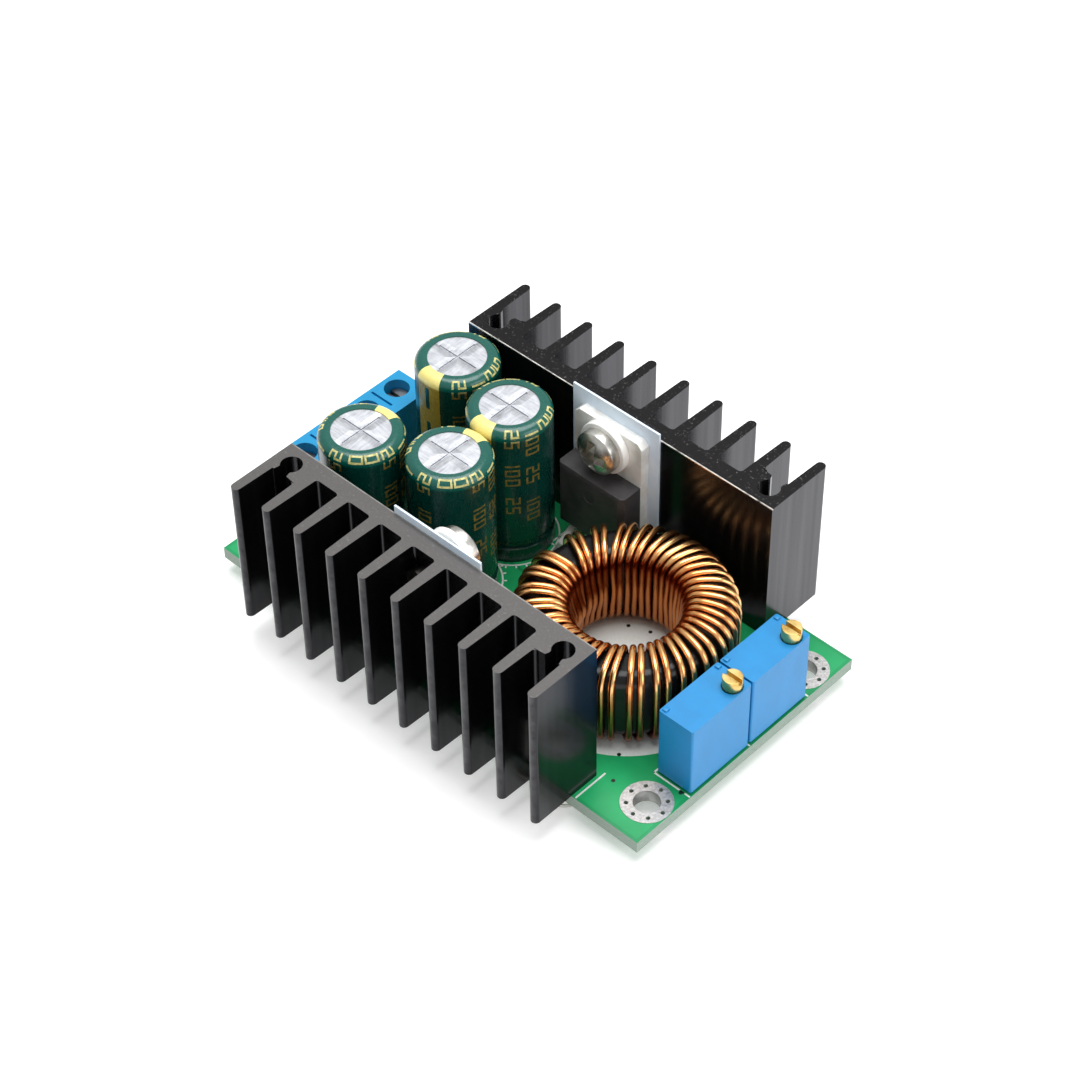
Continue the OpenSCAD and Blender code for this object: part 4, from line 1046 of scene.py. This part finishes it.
def winding_paths(wire):
    """Paths of the two parallel wires round the core, hand wound: close pairs in front, spread behind."""
    rng = random.Random(SEED)
    core_in = CORE_R - CORE_BAND
    outer, inner = CORE_R + WIRE_GAP + wire / 2, core_in - WIRE_GAP - wire / 2
    low, high = CORE_LOW.z - WIRE_GAP - wire / 2, CORE_HIGH.z + WIRE_GAP + wire / 2
    turn_angle = (360 - END_ANGLE) / TURNS
    start = 180 + END_ANGLE / 2
    wander = [rng.uniform(-WANDER, WANDER) for _ in range(TURNS + 1)]
    wander[0] = wander[-1] = 0.0
    for turn in range(CLOSING, TURNS):
        wander[turn] += CLOSING_SHIFT * ((turn - CLOSING) / (TURNS - 1 - CLOSING)) ** 2

    def plan(radius, angle):
        """Point in plan, by its angle round the core."""
        return Vector((*around(COIL, radius, math.radians(angle)), 0.0))

    def spread(angle):
        """Half the angle between the wires of a pair: close in front and spread out behind."""
        close = math.degrees((wire + PAIR_GAP) / outer) / 2
        wide = turn_angle / 4
        share = 0.5 + 0.5 * math.cos(math.radians(angle - SPREAD_AT))
        return close + (wide - close) * share ** 1.5

    def post(foot, turn):
        """Slack run down the bore, which leans inwards most where the coil was closed."""
        inwards = (Vector((COIL.x, COIL.y, 0.0)) - foot).normalized()
        angle = 180 + (turn + 0.5) * 360 / TURNS
        loose = 0.5 + 0.5 * math.cos(math.radians(angle - LOOSE_AT))
        slack = (SLACK + LOOSE_SLACK * loose ** 3) * rng.uniform(0.4, 1.0)
        lean = rng.uniform(-LEAN, LEAN) * Vector((-inwards.y, inwards.x, 0.0))
        top, foot_z = high - BEND_R, low + BEND_R
        points = []
        for step in range(1, POST_STEPS):
            share = step / POST_STEPS
            swell = math.sin(math.pi * share) ** 2
            point = foot + swell * (slack * inwards + lean)
            point.z = top + (foot_z - top) * share
            points.append(point)
        return points

    paths = []
    for side in (-1, 1):
        def outside(turn):
            """Where the wire stands outside the core."""
            angle = start + turn * turn_angle + wander[turn]
            offset = math.degrees((wire + END_GAP) / outer) / 2 if turn in (0, TURNS) else spread(angle)
            return plan(outer, angle + side * offset)

        def inside(turn):
            """Where it stands in the bore."""
            return plan(inner, 180 + (turn + 0.5) * 360 / TURNS + side * turn_angle / 4)

        path = [outside(0)]
        for turn in range(TURNS):
            path += crossing(outside(turn), inside(turn), high, 1)
            path += post(inside(turn), turn)
            if turn < TURNS - 1:
                path += crossing(inside(turn), outside(turn + 1), low, -1)
        path += last_crossing(inside(TURNS - 1), outside(TURNS), low)
        paths.append(path)
    return paths


def bend(at, level, ahead, up, radius, landing):
    """Quarter bend between an upright run at a plan point and a level run."""
    points = []
    for i in range(BEND_STEPS + 1):
        b = math.radians(90 * (BEND_STEPS - i if landing else i) / BEND_STEPS)
        reach = radius * (1 - math.cos(b)) * (-1 if landing else 1)
        point = at + reach * ahead
        point.z = level - up * radius * (1 - math.sin(b))
        points.append(point)
    return points


def crossing(first, last, level, up):
    """Run over or under the core. The one over it is bowed a little upwards."""
    ahead = (last - first).normalized()
    rise = bend(first, level, ahead, up, BEND_R, False)
    fall = bend(last, level, ahead, up, BEND_R, True)
    points = rise + [rise[-1].lerp(fall[0], i / CROSSING_STEPS) for i in range(1, CROSSING_STEPS)] + fall
    if up > 0:
        for point in points:
            along = (Vector((point.x, point.y, 0)) - first).length / (last - first).length
            point.z += BOW * max(0.0, math.sin(math.pi * min(along, 1.0))) ** 1.5
    return points


def last_crossing(first, last, level):
    """Run under the core that ends down in the board."""
    ahead = (last - first).normalized()
    down = bend(last, level, ahead, 1, EXIT_BEND, True)
    return bend(first, level, ahead, -1, BEND_R, False) + down + [Vector((last.x, last.y, 0.0))]


class InductorOperator(bpy.types.Operator):
    """Builds the toroidal inductor and its two wires"""

    bl_idname = "converter.inductor"
    bl_label = "Inductor"

    def execute(self, context):
        core = mould_finish("coated_core", tint(10, 10, 11), tint(22, 22, 24), 5.0, 0.24, 0.3)
        dress(core, "inductor_core")
        copper = copper_finish()
        wire = context.scene.converter_sizes.wire / MM
        for name, path in zip("ab", winding_paths(wire)):
            coil = Shape()
            coil.tube(path, wire / 2)
            coil.piece(f"winding_wire_{name}", copper, slot="enamelled_copper",
                       replaces=[f"winding_strand_{name}"], smooth=50.0)
        return {"FINISHED"}


class TerminalOperator(bpy.types.Operator):
    """Builds the screw terminals"""

    bl_idname = "converter.terminals"
    bl_label = "Screw terminals"

    def execute(self, context):
        base = Vector(context.scene.converter_colours.terminal)
        nylon = blue_finish("blue_nylon", tuple(base * 0.85), tuple(base), 0.36)
        for i in (1, 2):
            softened(f"terminal_{i}_housing", f"terminal_{i}_block", nylon, 0.12)
        cage = metal_finish("nickel_cage", tint(182, 172, 140), tint(214, 204, 172), 0.3)
        steel = metal_finish("clamp_steel", tint(104, 106, 110), tint(146, 147, 148), 0.36)
        for way in (1, 2, 3, 4):
            softened(f"clamp_cage_{way}", f"rising_cage_{way}", cage, 0.06, 40.0)
            softened(f"clamp_screw_{way}", f"clamp_bolt_{way}", steel, 0.05, 40.0)
        return {"FINISHED"}


class TrimmerOperator(bpy.types.Operator):
    """Builds the two multi-turn trimmers"""

    bl_idname = "converter.trimmers"
    bl_label = "Trimmers"

    def execute(self, context):
        base = Vector(context.scene.converter_colours.trimmer)
        case = blue_finish("blue_case", tuple(base * 0.88), tuple(base), 0.42)
        brass = metal_finish("brass_screw", tint(206, 170, 98), tint(234, 206, 138), 0.3)
        for i in (1, 2):
            softened(f"trimmer_{i}_body", f"trimmer_{i}_case", case, 0.12)
            softened(f"trimmer_{i}_screw", f"trimmer_{i}_adjuster", brass, 0.06, 40.0)
        return {"FINISHED"}


CHIP_GRAIN = 8.0
CONTROL_PARTS = (
    ("resistor_chip", (28, 28, 30), (44, 44, 46), 0.35, ("sense_resistor", "chip_resistors")),
    ("ceramic_chip", (150, 118, 84), (176, 142, 104), 0.45, ("chip_capacitors",)),
    ("led_chip", (214, 204, 184), (236, 230, 214), 0.2, ("indicator_leds",)),
)


class ControlOperator(bpy.types.Operator):
    """Gives the control parts under the board their finishes"""

    bl_idname = "converter.controls"
    bl_label = "Control parts"

    def execute(self, context):
        for name, dark, light, rough, nodes in CONTROL_PARTS:
            dress(mould_finish(name, tint(*dark), tint(*light), CHIP_GRAIN, rough), *nodes)
        return {"FINISHED"}


# Stage: metres, watts and degrees, unless a comment says otherwise

FLOOR_HALF = 1.5
FLOOR_GLOW = 0.31  # how bright metal sees the floor near the module; further off it is white
FLOOR_FADE = (150.0, 500.0)  # where that changes, in millimetres
WORLD_LIGHT = 0.58
LAMP_TARGET = Vector((0.0, 0.0, 0.01))
# Soft boxes: name, size, power and place
LAMPS = (
    ("key_light", 0.7, 6.0, (-0.05, 0.12, 0.76)),
    ("side_light", 0.5, 1.5, (0.7, 0.1, 0.35)),
)
CAMERA_AZIMUTH = -45.96
CAMERA_ELEVATION = 44.94
CAMERA_ROLL = -0.91
CAMERA_TARGET = Vector((-0.65, 2.25, 9.6)) * MM
CAMERA_DISTANCE = 324.27 * MM
FOCAL_PX = 2869.0  # focal length and picture width, in pixels of the photograph
PICTURE_PX = 1080.0
SENSOR = 36.0  # millimetres


class StageOperator(bpy.types.Operator):
    """Sets the floor, the soft light and the camera"""

    bl_idname = "converter.stage"
    bl_label = "Floor, light and camera"

    def execute(self, context):
        set_floor()
        set_world(context)
        set_lights()
        set_camera(context)
        return {"FINISHED"}


def set_floor():
    """Floor at the module's lowest point: white to the camera, and grey near the module in reflections."""
    half, low = FLOOR_HALF, CAD_BOX[0][2]
    corners = [(-half, -half, low), (half, -half, low), (half, half, low), (-half, half, low)]
    mesh = bpy.data.meshes.new("floor")
    mesh.from_pydata(corners, [], [(0, 1, 2, 3)])
    floor = bpy.data.objects.new("floor", mesh)
    bpy.context.scene.collection.objects.link(floor)
    f = Finish("studio_floor")
    x, y, _ = f.axes()
    seen = f.node("ShaderNodeLightPath", out="Is Camera Ray").largest(
        f.node("ShaderNodeLightPath", out="Is Glossy Ray")
    )
    glow = seen * (FLOOR_GLOW + (1 - FLOOR_GLOW) * ((x * x + y * y) ** 0.5).fade(*FLOOR_FADE))
    mesh.materials.append(f.set(
        Base_Color=f.mix(f.noise(0.02, 2.0), (0.86, 0.86, 0.86), (0.88, 0.88, 0.88)),
        Roughness=0.9,
        Specular_IOR_Level=0.0,
        Emission_Color=f.mix(glow, (0.0, 0.0, 0.0), (1.0, 1.0, 1.0)),
        Emission_Strength=1.0,
    ))


def set_world(context):
    """White surroundings: plain white to the camera, and dimmer for everything else."""
    world = bpy.data.worlds.new("studio")
    context.scene.world = world
    world.use_nodes = True
    tree = world.node_tree
    back = tree.nodes["Background"]
    seen = add_node(tree, "ShaderNodeLightPath", out="Is Camera Ray")
    connect(tree, back.inputs["Color"], (1.0, 1.0, 1.0))
    connect(tree, back.inputs["Strength"], WORLD_LIGHT + (1 - WORLD_LIGHT) * seen)


def set_lights():
    """Soft boxes, each aimed at the module."""
    for name, size, power, at in LAMPS:
        data = bpy.data.lights.new(name, "AREA")
        data.shape = "DISK"
        data.size = size
        data.energy = power
        lamp = bpy.data.objects.new(name, data)
        lamp.location = at
        lamp.rotation_euler = (LAMP_TARGET - lamp.location).to_track_quat("-Z", "Y").to_euler()
        bpy.context.scene.collection.objects.link(lamp)


def set_camera(context):
    """The photograph's viewing angle: a long lens, on a square picture."""
    azimuth, elevation, roll = [math.radians(a) for a in (CAMERA_AZIMUTH, CAMERA_ELEVATION, CAMERA_ROLL)]
    back = Vector((
        math.cos(elevation) * math.cos(azimuth), math.cos(elevation) * math.sin(azimuth), math.sin(elevation)
    ))
    right = Vector((0, 0, 1)).cross(back).normalized()
    up = back.cross(right)
    camera_right = math.cos(roll) * right + math.sin(roll) * up
    camera_up = -math.sin(roll) * right + math.cos(roll) * up
    data = bpy.data.cameras.new("camera")
    data.sensor_fit = "AUTO"
    data.sensor_width = SENSOR
    data.lens = SENSOR * FOCAL_PX / PICTURE_PX
    data.clip_start = 0.01
    camera = bpy.data.objects.new("camera", data)
    camera.matrix_world = Matrix.Translation(CAMERA_TARGET + back * CAMERA_DISTANCE) @ Matrix(
        (camera_right, camera_up, back)
    ).transposed().to_4x4()
    context.scene.collection.objects.link(camera)
    context.scene.camera = camera
    context.scene.view_settings.view_transform = "Standard"


class ConverterPanel(bpy.types.Panel):
    """Lists the settings and the steps in the sidebar of the 3D view"""

    bl_idname = "VIEW3D_PT_converter"
    bl_label = "Converter module"
    bl_space_type = "VIEW_3D"
    bl_region_type = "UI"
    bl_category = "Converter"

    def draw(self, context):
        for group in (context.scene.converter_colours, context.scene.converter_sizes):
            for key in group.__annotations__:
                self.layout.prop(group, key)
        for step in STEPS:
            self.layout.operator(step.bl_idname)


STEPS = (
    StageOperator, BoardOperator, SolderOperator, HeatsinkOperator, PackageOperator, CapacitorOperator,
    InductorOperator, TerminalOperator, TrimmerOperator, ControlOperator,
)
CLASSES = (ConverterColours, ConverterSizes, *STEPS, ConverterPanel)


def register():
    """Adds the settings, the steps and the panel."""
    for item in CLASSES:
        bpy.utils.register_class(item)
    bpy.types.Scene.converter_colours = bpy.props.PointerProperty(type=ConverterColours)
    bpy.types.Scene.converter_sizes = bpy.props.PointerProperty(type=ConverterSizes)


def unregister():
    """Takes them out again, in the opposite order."""
    del bpy.types.Scene.converter_sizes
    del bpy.types.Scene.converter_colours
    for item in reversed(CLASSES):
        bpy.utils.unregister_class(item)


def main():
    """Runs every step."""
    register()
    for step in STEPS:
        area, name = step.bl_idname.split(".")
        getattr(getattr(bpy.ops, area), name)()


if __name__ == "__main__":
    main()
